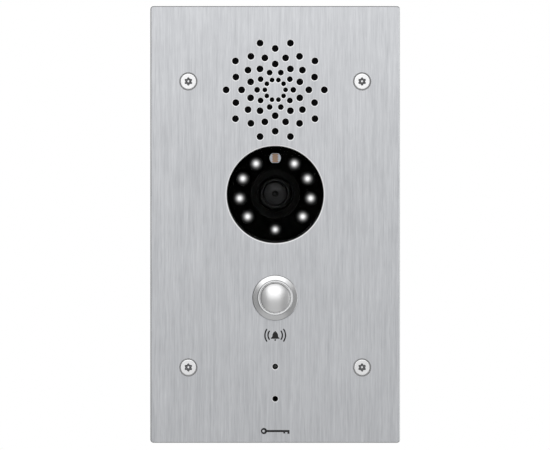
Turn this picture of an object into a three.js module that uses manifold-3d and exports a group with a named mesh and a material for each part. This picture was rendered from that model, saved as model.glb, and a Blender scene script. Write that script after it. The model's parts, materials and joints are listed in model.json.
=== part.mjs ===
// Door intercom panel: a brushed stainless steel faceplate that carries a loudspeaker, a camera with
// night lights, a call button, a status light and a microphone. A moulded housing behind it holds the
// electronics.
//
// Every piece is drawn in the panel's own standing frame: x to the right, y up, z out of the wall towards the
// visitor. The panel is turned once at the end, so that up is +Z and the front faces -Y.
// Units are millimetres. The origin is the centre of the wall opening, on the wall's surface.

import * as THREE from "three";
import { mergeVertices } from "three/addons/utils/BufferGeometryUtils.js";
import Module from "manifold-3d";

const wasm = await Module();
wasm.setup();

// ---------------------------------------------------------------- driving dimensions

const LARGE_SIDES = 24; // sides of a round piece over 15 mm
const MEDIUM_SIDES = 14; // sides of a round piece of 5 to 15 mm
const SMALL_SIDES = 8; // sides of a hole or pin under 5 mm
const FIT = 0.1; // gap between pieces that are clamped together
const LOOSE = 0.3; // gap between pieces that only face each other

const PLATE = { width: 120, height: 210, corner: 1.5, front: 4, back: 1.5 };
const SCREW = { x: 41.75, y: 68.75, head: 3.8, rim: 0.25, shank: 1.95, tip: -10, sunk: 0.1 };
const COUNTERSINK = { mouth: 4.3, hole: 2.25 };
const SOCKET = { tip: 1.97, valley: 1.43, lobes: 6, depth: 2, pin: 0.55 };
const WALL_GASKET = { margin: 3, band: 5, corner: 2 };

const SPEAKER_Y = 64.7;
const GRILLE = { perRing: 10, firstRing: 4.97, pitch: 3.73, holes: [1.1, 1.34, 1.58, 1.58, 1.58, 1.58] };
const CAMERA_Y = 14.4;
const LENS_Y = 14.8; // the camera sits a little above the middle of its window
const WINDOW_OPENING = 23.3;
const NIGHT_LIGHT = { circle: 17.25, spacingDeg: 32.4, perSide: 4 };
const BUTTON_Y = -35.2;
const BUTTON_HOLE = 9.6;
const STATUS_Y = -68.3;
const MICROPHONE_Y = -83.8;
const PIN_HOLE = 1.3;

const HOUSING = { width: 70, height: 186, corner: 5, wall: 2.2, back: -37, boss: 5 };
const FIXING = { x: 28.2, y: 86, seat: -8.2, head: -11.5 };
const BAY = { halfWidth: 22, top: -46, wall: 2, floor: -22.2 };
const BOARD = { front: -20, thickness: 1.6, halfWidth: 31.8, bottom: -90.3, top: 36 };
const CARRIER = { width: 64.4, height: 180.6, front: -1.5, thickness: 2 };
const TAMPER = { x: 18, y: 30 };

const BOARD_BACK = BOARD.front - BOARD.thickness;

// ---------------------------------------------------------------- materials

/** A plain material: colour, roughness and metalness. */
function material(color, roughness, metalness = 0) {
  return new THREE.MeshStandardMaterial({ color, roughness, metalness });
}

const brushedSteel = material(0xb9bbbe, 0.35, 1);
const polishedSteel = material(0xd6d7d9, 0.2, 1);
const zincPlate = material(0xa9abad, 0.4, 1);
const springSteel = material(0x8f9194, 0.3, 1);
const blackMoulding = material(0x17181a, 0.5);
const blackRubber = material(0x101011, 0.8);
const clearPlastic = material(0xd8dde0, 0.08);
const opticalGlass = material(0x2a2d33, 0.05);
const boardGreen = material(0x1d5a3a, 0.5);
const boardBlack = material(0x0d0e0f, 0.45);
const terminalGreen = material(0x2f8f4e, 0.45);
const paperCone = material(0x2b2927, 0.9);
const ceramic = material(0xc9c3ba, 0.5);

// ---------------------------------------------------------------- shapes and solids

/** Points on a circle of the given number of sides. */
function circlePoints(x, y, radius, sides) {
  return Array.from({ length: sides }, (_, i) => {
    const angle = (2 * Math.PI * i) / sides;
    return new THREE.Vector2(x + radius * Math.cos(angle), y + radius * Math.sin(angle));
  });
}

/** A round hole, for a shape's list of holes. */
function roundHole(x, y, radius, sides) {
  return new THREE.Path(circlePoints(x, y, radius, sides));
}

/** A round outline. */
function disc(radius, sides, x = 0, y = 0) {
  return new THREE.Shape(circlePoints(x, y, radius, sides));
}

/** A rectangle round its centre, with round corners. */
function roundedRectangle(width, height, corner, x = 0, y = 0) {
  const [left, right] = [x - width / 2, x + width / 2];
  const [low, high] = [y - height / 2, y + height / 2];
  const shape = new THREE.Shape();
  shape.absarc(right - corner, low + corner, corner, -Math.PI / 2, 0);
  shape.absarc(right - corner, high - corner, corner, 0, Math.PI / 2);
  shape.absarc(left + corner, high - corner, corner, Math.PI / 2, Math.PI);
  shape.absarc(left + corner, low + corner, corner, Math.PI, 1.5 * Math.PI);
  shape.closePath();
  return shape;
}

/** A flat piece of an outline, from one depth to another. */
function slab(shape, low, high, curveSegments = 3) {
  const settings = { depth: high - low, bevelEnabled: false, curveSegments };
  return new THREE.ExtrudeGeometry(shape, settings).translate(0, 0, low);
}

/** A box between two opposite corners. */
function block([x0, y0, z0], [x1, y1, z1]) {
  const box = new THREE.BoxGeometry(x1 - x0, y1 - y0, z1 - z0);
  return box.translate((x0 + x1) / 2, (y0 + y1) / 2, (z0 + z1) / 2);
}

/** A turned piece about z. Its profile lists [radius, z], with the outside going up. */
function turned(profile, sides = LARGE_SIDES) {
  const onAxis = profile[0][0] === 0;
  const points = (onAxis ? profile : [...profile, profile[0]]).map(([r, z]) => new THREE.Vector2(r, z));
  return new THREE.LatheGeometry(points, sides).rotateX(Math.PI / 2);
}

/** A solid cylinder about z. */
function rod(radius, low, high, sides) {
  return turned([[0, low], [radius, low], [radius, high], [0, high]], sides);
}

/** A flat ring about z. */
function washer(inner, outer, low, high, sides = LARGE_SIDES) {
  return turned([[inner, low], [outer, low], [outer, high], [inner, high]], sides);
}

/** A closed geometry as a manifold-3d solid. */
function solidFrom(geometry) {
  const bare = geometry.index ? geometry.toNonIndexed() : geometry.clone();
  bare.deleteAttribute("normal");
  bare.deleteAttribute("uv");
  const welded = mergeVertices(bare, 1e-4);
  const vertProperties = welded.attributes.position.array;
  const triVerts = new Uint32Array(welded.index.array);
  return new wasm.Manifold(new wasm.Mesh({ numProp: 3, vertProperties, triVerts }));
}

/** A manifold-3d solid as a geometry. */
function geometryFrom(solid) {
  const { vertProperties, triVerts } = solid.getMesh();
  const geometry = new THREE.BufferGeometry();
  geometry.setAttribute("position", new THREE.BufferAttribute(vertProperties, 3));
  geometry.setIndex(new THREE.BufferAttribute(triVerts, 1));
  return geometry;
}

/** A geometry with others cut out of it. */
function cut(geometry, ...tools) {
  const subtract = (left, tool) => left.subtract(solidFrom(tool));
  return geometryFrom(tools.reduce(subtract, solidFrom(geometry)));
}

/** Overlapping geometries as one. */
function join(...geometries) {
  const add = (whole, piece) => whole.add(piece);
  return geometryFrom(geometries.map(solidFrom).reduce(add));
}

/** The same geometry somewhere else. */
function moved(geometry, x, y, z = 0) {
  return geometry.clone().translate(x, y, z);
}

/** A compression spring about z. */
function coil(radius, wire, low, high, turns) {
  const stepsPerTurn = 8;
  const steps = turns * stepsPerTurn;
  const centres = Array.from({ length: steps + 1 }, (_, i) => {
    const angle = (2 * Math.PI * i) / stepsPerTurn;
    const height = low + wire + ((high - low - 2 * wire) * i) / steps;
    return new THREE.Vector3(radius * Math.cos(angle), radius * Math.sin(angle), height);
  });
  const extrudePath = new THREE.CatmullRomCurve3(centres);
  return new THREE.ExtrudeGeometry(disc(wire, 5), { steps, extrudePath });
}

const panel = new THREE.Group();

/** Adds a named piece to the panel at x, y. */
function add(name, geometry, finish, x = 0, y = 0) {
  const mesh = new THREE.Mesh(geometry, finish);
  mesh.name = name;
  mesh.position.set(x, y, 0);
  panel.add(mesh);
}

/** The four combinations of +-x and +-y, upper left first. */
function corners(x, y) {
  return [[-x, y], [x, y], [-x, -y], [x, -y]];
}

// ---------------------------------------------------------------- faceplate

/** Centres and radii of the loudspeaker's holes. The third and fifth rings stand half a step round. */
function grilleHoles() {
  const holes = [];
  for (let ring = 0; ring < GRILLE.holes.length; ring += 1) {
    const radius = GRILLE.firstRing + ring * GRILLE.pitch;
    const halfStep = ring < 2 ? 0 : (ring - 1) % 2;
    for (let i = 0; i < GRILLE.perRing; i += 1) {
      const angle = (2 * Math.PI * (i + halfStep / 2)) / GRILLE.perRing;
      holes.push([radius * Math.cos(angle), SPEAKER_Y + radius * Math.sin(angle), GRILLE.holes[ring]]);
    }
  }
  return holes;
}

/** The countersink and hole of one panel screw. */
function countersink() {
  const { mouth, hole } = COUNTERSINK;
  const { front } = PLATE;
  const cone = [[hole, 0], [hole, front - (mouth - hole)], [mouth, front], [mouth, front + 1]];
  return turned([[0, 0], ...cone, [0, front + 1]], MEDIUM_SIDES);
}

/** The plate, with its holes for sound, window, button, status light, microphone and screws. */
function faceplate() {
  const outline = roundedRectangle(PLATE.width, PLATE.height, PLATE.corner);
  outline.holes.push(...grilleHoles().map(([x, y, radius]) => roundHole(x, y, radius, SMALL_SIDES)));
  outline.holes.push(roundHole(0, CAMERA_Y, WINDOW_OPENING, 2 * LARGE_SIDES));
  outline.holes.push(roundHole(0, BUTTON_Y, BUTTON_HOLE, LARGE_SIDES));
  outline.holes.push(roundHole(0, STATUS_Y, PIN_HOLE, SMALL_SIDES));
  outline.holes.push(roundHole(0, MICROPHONE_Y, PIN_HOLE, SMALL_SIDES));
  const sinks = corners(SCREW.x, SCREW.y).map(([x, y]) => moved(countersink(), x, y));
  return cut(slab(outline, PLATE.back, PLATE.front), ...sinks);
}

/** The groove of the security socket: a six-lobed star round a standing pin. */
function securitySocket(top) {
  const points = Array.from({ length: 2 * SOCKET.lobes }, (_, i) => {
    const angle = (Math.PI * i) / SOCKET.lobes;
    const radius = i % 2 === 0 ? SOCKET.tip : SOCKET.valley;
    return new THREE.Vector2(radius * Math.sin(angle), radius * Math.cos(angle));
  });
  const star = new THREE.Shape(points);
  star.holes.push(roundHole(0, 0, SOCKET.pin, 6));
  return slab(star, top - SOCKET.depth, top + 1);
}

/** A countersunk security screw. */
function panelScrew() {
  const { head, rim, shank, tip } = SCREW;
  const top = PLATE.front - SCREW.sunk;
  const thread = [[shank - 0.5, tip], [shank, tip + 0.5], [shank, top - rim - (head - shank)]];
  const profile = [[0, tip], ...thread, [head, top - rim], [head, top], [0, top]];
  return cut(turned(profile, MEDIUM_SIDES), securitySocket(top));
}

/** The foam ring that seals the plate to the wall. */
function wallGasket() {
  const { margin, band, corner } = WALL_GASKET;
  const [width, height] = [PLATE.width - 2 * margin, PLATE.height - 2 * margin];
  const ring = roundedRectangle(width, height, corner);
  ring.holes.push(roundedRectangle(width - 2 * band, height - 2 * band, corner));
  return slab(ring, 0, PLATE.back - FIT);
}

add("faceplate", faceplate(), brushedSteel);
corners(SCREW.x, SCREW.y).forEach(([x, y], i) => {
  add(`panel_screw_${i + 1}`, panelScrew(), polishedSteel, x, y);
});
add("wall_gasket", wallGasket(), blackRubber);

// ---------------------------------------------------------------- loudspeaker

/** The pressed basket: a bowl with a flange and a hole for the pole. */
function speakerFrame() {
  const outside = [[5.6, -10.2], [12.2, -10.2], [21.5, -7.4], [23.4, -1.4], [25.2, -1.4], [25.2, 0.1]];
  const inside = [[23.2, 0.1], [20.7, -6.7], [12.2, -9.3], [5.6, -9.3]];
  return turned([...outside, ...inside]);
}

/** The paper cone with its rolled surround and dust cap. */
function speakerCone() {
  const under = [[0, -7.4], [5, -7.4], [17.5, -1.9], [22.2, -0.5]];
  const over = [[22.2, 0], [19.8, 0.05], [17.5, -1.3], [6, -6.3], [0, -4.8]];
  return turned([...under, ...over]);
}

/** The ring magnet with its back plate and pole. */
function speakerMagnet() {
  const ring = [[0, -16.4], [11.4, -16.4], [11.4, -15.2], [12.6, -15.2], [12.6, -10.5]];
  return turned([...ring, [4.2, -10.5], [4.2, -8], [0, -8]]);
}

/** The pair of wires from the loudspeaker to the main board, kept clear of the camera. */
function speakerLead() {
  const route = [[12, 55, -10.6], [15, 50, -11.8], [18, 45, -13.2], [20, 40, -15.4], [21, 34, -18.9]];
  const extrudePath = new THREE.CatmullRomCurve3(route.map((point) => new THREE.Vector3(...point)));
  return new THREE.ExtrudeGeometry(disc(0.8, 6), { steps: 8, extrudePath });
}

add("speaker_mesh", rod(25.3, 1.1, 1.4, LARGE_SIDES), blackMoulding, 0, SPEAKER_Y);
add("speaker_gasket", washer(23.2, 25.2, 0.2, 1, LARGE_SIDES), blackRubber, 0, SPEAKER_Y);
add("speaker_frame", speakerFrame(), zincPlate, 0, SPEAKER_Y);
add("speaker_cone", speakerCone(), paperCone, 0, SPEAKER_Y);
add("speaker_magnet", speakerMagnet(), springSteel, 0, SPEAKER_Y);
add("speaker_lead", speakerLead(), blackMoulding);

// ---------------------------------------------------------------- camera

/** The clear window: a boss that fills the plate's opening, on a flange behind it. */
function cameraWindow() {
  const flange = [[0, -0.3], [24.7, -0.3], [24.7, 0.85], [23.1, 0.85]];
  return turned([...flange, [23.1, 3.2], [22.9, 3.4], [0, 3.4]]);
}

/** The black cup that holds the night light board and lens. */
function cameraShroud() {
  const outside = [[9.5, -12], [23.7, -12], [23.7, -1.35], [24.9, -1.35], [24.9, -0.4]];
  const inside = [[22.7, -0.4], [22.7, -7.3], [21.3, -7.3], [21.3, -11], [9.5, -11]];
  return turned([...outside, ...inside]);
}

/** A domed lamp of 5 mm with its base flange. */
function nightLight() {
  const base = [[0, -5.9], [2.9, -5.9], [2.9, -4.9], [2.45, -4.9], [2.45, -3.3]];
  return turned([...base, [1.8, -1.6], [0, -0.9]], SMALL_SIDES);
}

/** Places of the night lights on their circle, from the top round both sides, and one at the bottom. */
function nightLightPlaces() {
  const { circle, spacingDeg, perSide } = NIGHT_LIGHT;
  const steps = Array.from({ length: perSide }, (_, i) => (i + 1) * spacingDeg);
  const angles = [...steps, 180, ...steps.map((angle) => 360 - angle).reverse()];
  return angles.map((angle) => {
    const turn = THREE.MathUtils.degToRad(angle);
    return [circle * Math.sin(turn), LENS_Y + circle * Math.cos(turn)];
  });
}

/** The daylight sensor: a ceramic disc with two flats, on its two legs. */
function lightSensor() {
  const [radius, flat] = [2.55, 2.15];
  const turn = Math.asin(flat / radius);
  const face = new THREE.Shape();
  face.absarc(0, 0, radius, -turn, turn);
  face.absarc(0, 0, radius, Math.PI - turn, Math.PI + turn);
  face.closePath();
  const legs = [-1.3, 1.3].map((x) => moved(rod(0.3, -5.9, -3, 6), x, 0));
  return join(slab(face, -3.6, -1.6, 8), ...legs);
}

/** The lens barrel: a wide head with a flared mouth, and a stem that screws into the holder. */
function lensBarrel() {
  const outside = [[1.45, -14.5], [5.95, -14.5], [5.95, -5.7], [8.1, -5.7], [8.1, -1.7], [7.9, -1.5]];
  return turned([...outside, [6.7, -1.5], [5.7, -2.5], [5.7, -5], [1.45, -5]]);
}

/** The front lens. */
function lensGlass() {
  return turned([[0, -4.9], [5.6, -4.9], [5.6, -3], [4.6, -2.2], [2.5, -1.75], [0, -1.6]], MEDIUM_SIDES);
}

/** The holder: a round neck on a square foot, bored for the lens barrel. */
function lensHolder() {
  const foot = slab(roundedRectangle(17, 17, 1.5), -14.9, -12.3);
  return cut(join(foot, rod(7.6, -13, -8, MEDIUM_SIDES)), rod(6.1, -16, -7, MEDIUM_SIDES));
}

add("camera_window", cameraWindow(), clearPlastic, 0, CAMERA_Y);
add("window_seal", washer(23.5, 24.6, 0.95, 1.4), blackRubber, 0, CAMERA_Y);
add("camera_shroud", cameraShroud(), blackMoulding, 0, CAMERA_Y);
add("night_light_board", washer(8.6, 22.1, -7.2, -6), boardBlack, 0, LENS_Y);
nightLightPlaces().forEach(([x, y], i) => add(`night_light_${i + 1}`, nightLight(), clearPlastic, x, y));
add("light_sensor", lightSensor(), ceramic, 0, LENS_Y + NIGHT_LIGHT.circle);
add("lens_baffle", washer(8.4, 12, -5.9, -0.5), blackRubber, 0, LENS_Y);
add("lens_barrel", lensBarrel(), blackMoulding, 0, LENS_Y);
add("lens_glass", lensGlass(), opticalGlass, 0, LENS_Y);
add("lens_holder", lensHolder(), blackMoulding, 0, LENS_Y);
add("camera_board", slab(roundedRectangle(34, 34, 2), -16.2, -15), boardGreen, 0, LENS_Y);

// ---------------------------------------------------------------- call button

/** The steel bezel and barrel in one: a raised lip, a sloped shoulder, and a groove for the seal. */
function buttonBezel() {
  const groove = [[9.75, 4.1], [9.75, 4.7], [10.75, 4.7], [10.75, 4.1]];
  const shoulder = [[11, 4.1], [11, 4.8], [10.7, 5.15], [8.45, 5.85]];
  const lip = [[8.25, 6.2], [7.7, 6.2], [7.45, 5.95], [7.45, 2.6]];
  return turned([[8.1, -13.5], [9.4, -13.5], [9.4, 4.1], ...groove, ...shoulder, ...lip, [8.1, 2.6]]);
}

/** The domed cap, with the flange that stops it and the stem that works the switch. */
function buttonCap() {
  const stem = [[0, -7.2], [3, -7.2], [3, 1.1], [7.85, 1.1], [7.85, 2.3], [7.15, 2.3], [7.15, 5.7]];
  return turned([...stem, [6.9, 6.1], [5.6, 6.7], [3.9, 7.2], [2, 7.5], [0, 7.6]]);
}

/** A hexagon nut about z. */
function hexNut(acrossFlats, bore, low, high) {
  return cut(rod(acrossFlats / Math.sqrt(3), low, high, 6), rod(bore, low - 1, high + 1, LARGE_SIDES));
}

/** The plastic contact block, bored for the stem, with its two blades moulded in. */
function contactBlock() {
  const flange = [[0, -15.8], [9.2, -15.8], [9.2, -13.7], [7.9, -13.7]];
  const body = turned([...flange, [7.9, -7], [0, -7]], MEDIUM_SIDES);
  const blades = [-4, 4].map((x) => block([x - 0.25, -1.4, -19.7], [x + 0.25, 1.4, -15.5]));
  return cut(join(body, ...blades), rod(3.4, -10, -6, MEDIUM_SIDES));
}

add("button_bezel", buttonBezel(), polishedSteel, 0, BUTTON_Y);
add("button_cap", buttonCap(), polishedSteel, 0, BUTTON_Y);
add("button_seal", washer(9.9, 10.55, 4.05, 4.6), blackRubber, 0, BUTTON_Y);
add("button_nut", hexNut(23, 9.7, -1.6, 1.4), zincPlate, 0, BUTTON_Y);
add("button_spring", coil(5.5, 0.35, -6.7, 0.9, 4), springSteel, 0, BUTTON_Y);
add("contact_block", contactBlock(), blackMoulding, 0, BUTTON_Y);

// ---------------------------------------------------------------- status light and microphone

/** The clear rod that carries the status light to the front. */
function statusLightPipe() {
  const collar = [[0, -19.6], [1.5, -19.6], [1.5, -3.6], [1.05, -3.6]];
  return turned([...collar, [1.05, 3.6], [0.7, 3.85], [0, 3.9]], SMALL_SIDES);
}

/** The rubber boot that carries sound from the pin hole to the microphone. */
function microphoneBoot() {
  const outside = [[3.2, -5], [5, -5], [5, 1.4], [1, 1.4]];
  return turned([...outside, [1, -1.2], [3.2, -1.2]], MEDIUM_SIDES);
}

add("status_light_pipe", statusLightPipe(), clearPlastic, 0, STATUS_Y);
add("microphone_boot", microphoneBoot(), blackRubber, 0, MICROPHONE_Y);
add("microphone", rod(3.1, -4.2, -1.3, MEDIUM_SIDES), zincPlate, 0, MICROPHONE_Y);

// ---------------------------------------------------------------- carrier and fixings

/** The moulded carrier that clamps loudspeaker, camera, light pipe and microphone against the plate. */
function innerCarrier() {
  const outline = roundedRectangle(CARRIER.width, CARRIER.height, 3.5);
  const hole = (y, radius, sides) => outline.holes.push(roundHole(0, y, radius, sides));
  hole(SPEAKER_Y, 24, LARGE_SIDES);
  hole(CAMERA_Y, 24, LARGE_SIDES);
  hole(BUTTON_Y, 13.8, LARGE_SIDES);
  hole(STATUS_Y, 1.3, SMALL_SIDES);
  hole(MICROPHONE_Y, 5.2, MEDIUM_SIDES);
  outline.holes.push(...corners(FIXING.x, FIXING.y).map(([x, y]) => roundHole(x, y, 3.3, SMALL_SIDES)));
  return slab(outline, CARRIER.front - CARRIER.thickness, CARRIER.front);
}

/** A hexagon spacer, welded to the plate and tapped for a housing screw. */
function standoff() {
  return cut(rod(2.85, FIXING.seat + FIT, PLATE.back - FIT, 6), rod(1.6, FIXING.seat, -0.5, SMALL_SIDES));
}

/** A socket head screw that holds the housing. */
function housingScrew() {
  const { head } = FIXING;
  const cap = [[0, head - 2.5], [2.6, head - 2.5], [2.75, head - 2.2], [2.75, head - FIT]];
  const screw = turned([...cap, [1.45, head - FIT], [1.45, -1.5], [0, -1.5]], SMALL_SIDES);
  return cut(screw, rod(1.2, head - 3, head - 1, 6));
}

add("inner_carrier", innerCarrier(), blackMoulding);
corners(FIXING.x, FIXING.y).forEach(([x, y], i) => {
  add(`standoff_${i + 1}`, standoff(), zincPlate, x, y);
  add(`housing_screw_${i + 1}`, housingScrew(), zincPlate, x, y);
});

// ---------------------------------------------------------------- rear housing

/** The tub behind the plate, with its screw columns and the open bay for the connectors. */
function rearHousing() {
  const { width, height, corner, wall, back, boss } = HOUSING;
  const { halfWidth, top, floor } = BAY;
  const rim = 0.7;
  const outline = (inset) => roundedRectangle(width - 2 * inset, height - 2 * inset, corner - inset);
  const tub = cut(slab(outline(0), back, rim, 4), slab(outline(wall), back + wall, rim + 1, 4));
  const bottom = -height / 2;
  const outer = halfWidth + BAY.wall;
  const bayWalls = block([-outer, bottom + 1, back + 1], [outer, top + BAY.wall, floor]);
  const bayCut = block([-halfWidth, bottom - 1, back - 1], [halfWidth, top, floor + 1]);
  const column = rod(boss, back + 1, FIXING.seat, MEDIUM_SIDES);
  const columns = corners(FIXING.x, FIXING.y).map(([x, y]) => moved(column, x, y));
  const well = turned(
    [[0, back - 1], [3.1, back - 1], [3.1, FIXING.head], [1.7, FIXING.head], [1.7, 0], [0, 0]],
    MEDIUM_SIDES,
  );
  const wells = corners(FIXING.x, FIXING.y).map(([x, y]) => moved(well, x, y));
  const plungerHole = moved(rod(2.8, back - 1, back + wall + 1, MEDIUM_SIDES), TAMPER.x, TAMPER.y);
  return cut(join(tub, bayWalls, ...columns), bayCut, plungerHole, ...wells);
}

/** The rubber ring between the housing's rim and the plate. */
function housingSeal() {
  const { width, height, corner, wall } = HOUSING;
  const ring = roundedRectangle(width, height, corner);
  ring.holes.push(roundedRectangle(width - 2 * wall, height - 2 * wall, corner - wall));
  return slab(ring, 0.8, PLATE.back - FIT);
}

add("rear_housing", rearHousing(), blackMoulding);
add("housing_seal", housingSeal(), blackRubber);

// ---------------------------------------------------------------- main board and connectors

/** The main board, with its lower corners cut away for the screw columns. */
function mainBoard() {
  const { front, halfWidth, bottom, top } = BOARD;
  const reach = HOUSING.boss + LOOSE;
  const [edge, shelf] = [FIXING.x - reach, reach - FIXING.y];
  const outline = new THREE.Shape();
  outline.moveTo(-edge, bottom);
  outline.lineTo(edge, bottom);
  outline.lineTo(edge, shelf);
  outline.lineTo(halfWidth, shelf);
  outline.lineTo(halfWidth, top);
  outline.lineTo(-halfWidth, top);
  outline.lineTo(-halfWidth, shelf);
  outline.lineTo(-edge, shelf);
  outline.closePath();
  return slab(outline, BOARD_BACK, front);
}

/** The network socket: a shielded box with its mouth facing down. */
function networkSocket() {
  const low = [-20, -69.5, -35.2];
  const high = [-4, -48.5, BOARD_BACK - FIT];
  const mouth = block([-17.9, -70, -32], [-6.1, -55.5, -25]);
  const latchSlot = block([-15.1, -70, -25.1], [-8.9, -57, -23.2]);
  return cut(block(low, high), mouth, latchSlot);
}

const TERMINALS = { count: 6, pitch: 3.5, first: 1.25, left: -1, right: 21, low: -62, high: -50 };

/** The terminal block: a stepped bar with a wire mouth below and a screw well behind for each way. */
function terminalBlock() {
  const { count, pitch, first, left, right, low, high } = TERMINALS;
  const bar = block([left, low, -31], [right, high, BOARD_BACK - FIT]);
  const ridge = block([left, low + 4, -33.4], [right, high, -30]);
  const mouths = [];
  const wells = [];
  for (let way = 0; way < count; way += 1) {
    const x = first + way * pitch;
    mouths.push(block([x - 1.25, low - 1, -27.5], [x + 1.25, low + 4, -25]));
    wells.push(moved(rod(1.4, -34, -29.5, SMALL_SIDES), x, high - 4));
  }
  return cut(join(bar, ridge), ...mouths, ...wells);
}

add("main_board", mainBoard(), boardGreen);
add("network_socket", networkSocket(), zincPlate);
add("terminal_block", terminalBlock(), terminalGreen);

// ---------------------------------------------------------------- tamper contact and reset button

/** The plunger that feels the wall box: a round nose, a flange that stops it, and a stem for the switch. */
function tamperPlunger() {
  const nose = [[0, -42], [1.7, -42], [2.5, -41.2], [2.5, -34.5], [4.2, -34.5], [4.2, -33.3]];
  return turned([...nose, [1.6, -33.3], [1.6, -25.6], [0, -25.6]], MEDIUM_SIDES);
}

/** A switch body standing on the back of the main board, bored for its plunger. */
function switchBody(half, back, bore, boreEnd) {
  const body = block([-half, -half, back], [half, half, BOARD_BACK - FIT]);
  return cut(body, rod(bore, back - 1, boreEnd, SMALL_SIDES));
}

add("tamper_switch", switchBody(5, -26.5, 2.2, -22.3), blackMoulding, TAMPER.x, TAMPER.y);
add("tamper_plunger", tamperPlunger(), blackMoulding, TAMPER.x, TAMPER.y);
add("tamper_spring", coil(2.9, 0.3, -33.1, -26.7, 4), springSteel, TAMPER.x, TAMPER.y);
add("reset_switch", switchBody(3, -25.1, 2, -22.8), blackMoulding, 10, -76);
add("reset_button", rod(1.7, -26.8, -23.5, SMALL_SIDES), blackMoulding, 10, -76);

// ---------------------------------------------------------------- the standing panel

panel.rotation.x = Math.PI / 2;

export default panel;
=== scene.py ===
import json
import logging
import math
from dataclasses import dataclass
from enum import Enum
from functools import cache
from typing import Mapping, Sequence

import bmesh
import bpy
import numpy as np
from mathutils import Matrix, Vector
from mathutils.geometry import delaunay_2d_cdt


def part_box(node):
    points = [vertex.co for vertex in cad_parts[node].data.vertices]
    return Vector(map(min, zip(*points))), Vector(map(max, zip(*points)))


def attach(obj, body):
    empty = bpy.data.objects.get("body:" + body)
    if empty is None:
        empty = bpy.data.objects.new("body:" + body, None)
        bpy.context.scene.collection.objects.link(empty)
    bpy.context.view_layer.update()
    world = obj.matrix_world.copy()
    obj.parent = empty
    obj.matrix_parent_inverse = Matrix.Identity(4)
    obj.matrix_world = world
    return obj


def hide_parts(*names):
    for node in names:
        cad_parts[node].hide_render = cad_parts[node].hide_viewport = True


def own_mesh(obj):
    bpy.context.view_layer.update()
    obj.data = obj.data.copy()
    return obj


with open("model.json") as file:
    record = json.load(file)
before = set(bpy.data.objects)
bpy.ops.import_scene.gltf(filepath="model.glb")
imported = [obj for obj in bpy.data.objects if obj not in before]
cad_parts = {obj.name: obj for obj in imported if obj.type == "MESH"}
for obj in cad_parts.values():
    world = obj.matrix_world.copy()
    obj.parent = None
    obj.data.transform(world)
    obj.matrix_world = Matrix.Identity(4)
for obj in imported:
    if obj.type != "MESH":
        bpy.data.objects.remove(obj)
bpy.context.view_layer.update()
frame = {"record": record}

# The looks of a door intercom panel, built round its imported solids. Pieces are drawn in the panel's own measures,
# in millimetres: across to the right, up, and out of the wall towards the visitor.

MM = 0.001
MERGE = 0.002 * MM  # how near two points are one
SLIVER = 0.0005 * MM  # the shortest edge kept
SHARP = math.radians(33)  # edges sharper than this stay sharp in the shading
SEAM = 0.002  # the inset, in millimetres, where two blocks of one moulding meet
NOISE_RANGE = (0.27, 0.73)  # between these lies nearly all of a noise node's output
CLOUDS = 90.0  # clouds of handling to the metre
COAT_ROUGHNESS = 0.12
log = logging.getLogger("door_panel")

Line = np.ndarray  # points of a flat line, (n, 2)
Rows = np.ndarray  # rows of points, (rows, n, 3)
Tone = tuple[float, float, float]
Socket = bpy.types.NodeSocket


# ---------------------------------------------------------------- lines and outlines


def full_turn(sides: int) -> np.ndarray:
    """The angles of equal steps round a whole turn."""
    return np.linspace(0, 2 * math.pi, sides, endpoint=False)


def hexagon(half_width: float, turn: np.ndarray) -> np.ndarray:
    """The radius of a hexagon at each turn: half its width over the cosine of the turn from the nearest flat."""
    return half_width / np.cos((turn + math.pi / 6) % (math.pi / 3) - math.pi / 6)


def thread(pitch: float, heights: np.ndarray, turn: np.ndarray) -> np.ndarray:
    """How deep a thread is, from 0 to 1: a sharp wave that moves up by one pitch in a turn."""
    return np.abs(((heights[:, None] / pitch - turn / (2 * math.pi)) % 1) * 2 - 1)


def through(places: Sequence[Sequence[float]], count: int) -> np.ndarray:
    """Evenly many points between each two of some places, in straight lines."""
    route, steps = np.asarray(places, float), np.linspace(0, len(places) - 1, count)
    return np.stack([np.interp(steps, range(len(route)), route[:, k]) for k in range(3)], -1)


def circle(radius: float, sides: int, across: float = 0.0, up: float = 0.0) -> Line:
    """A round outline: the cosine and sine of equal turns, times the radius, from its centre."""
    turn = full_turn(sides)
    return np.stack([across + radius * np.cos(turn), up + radius * np.sin(turn)], -1)


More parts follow.
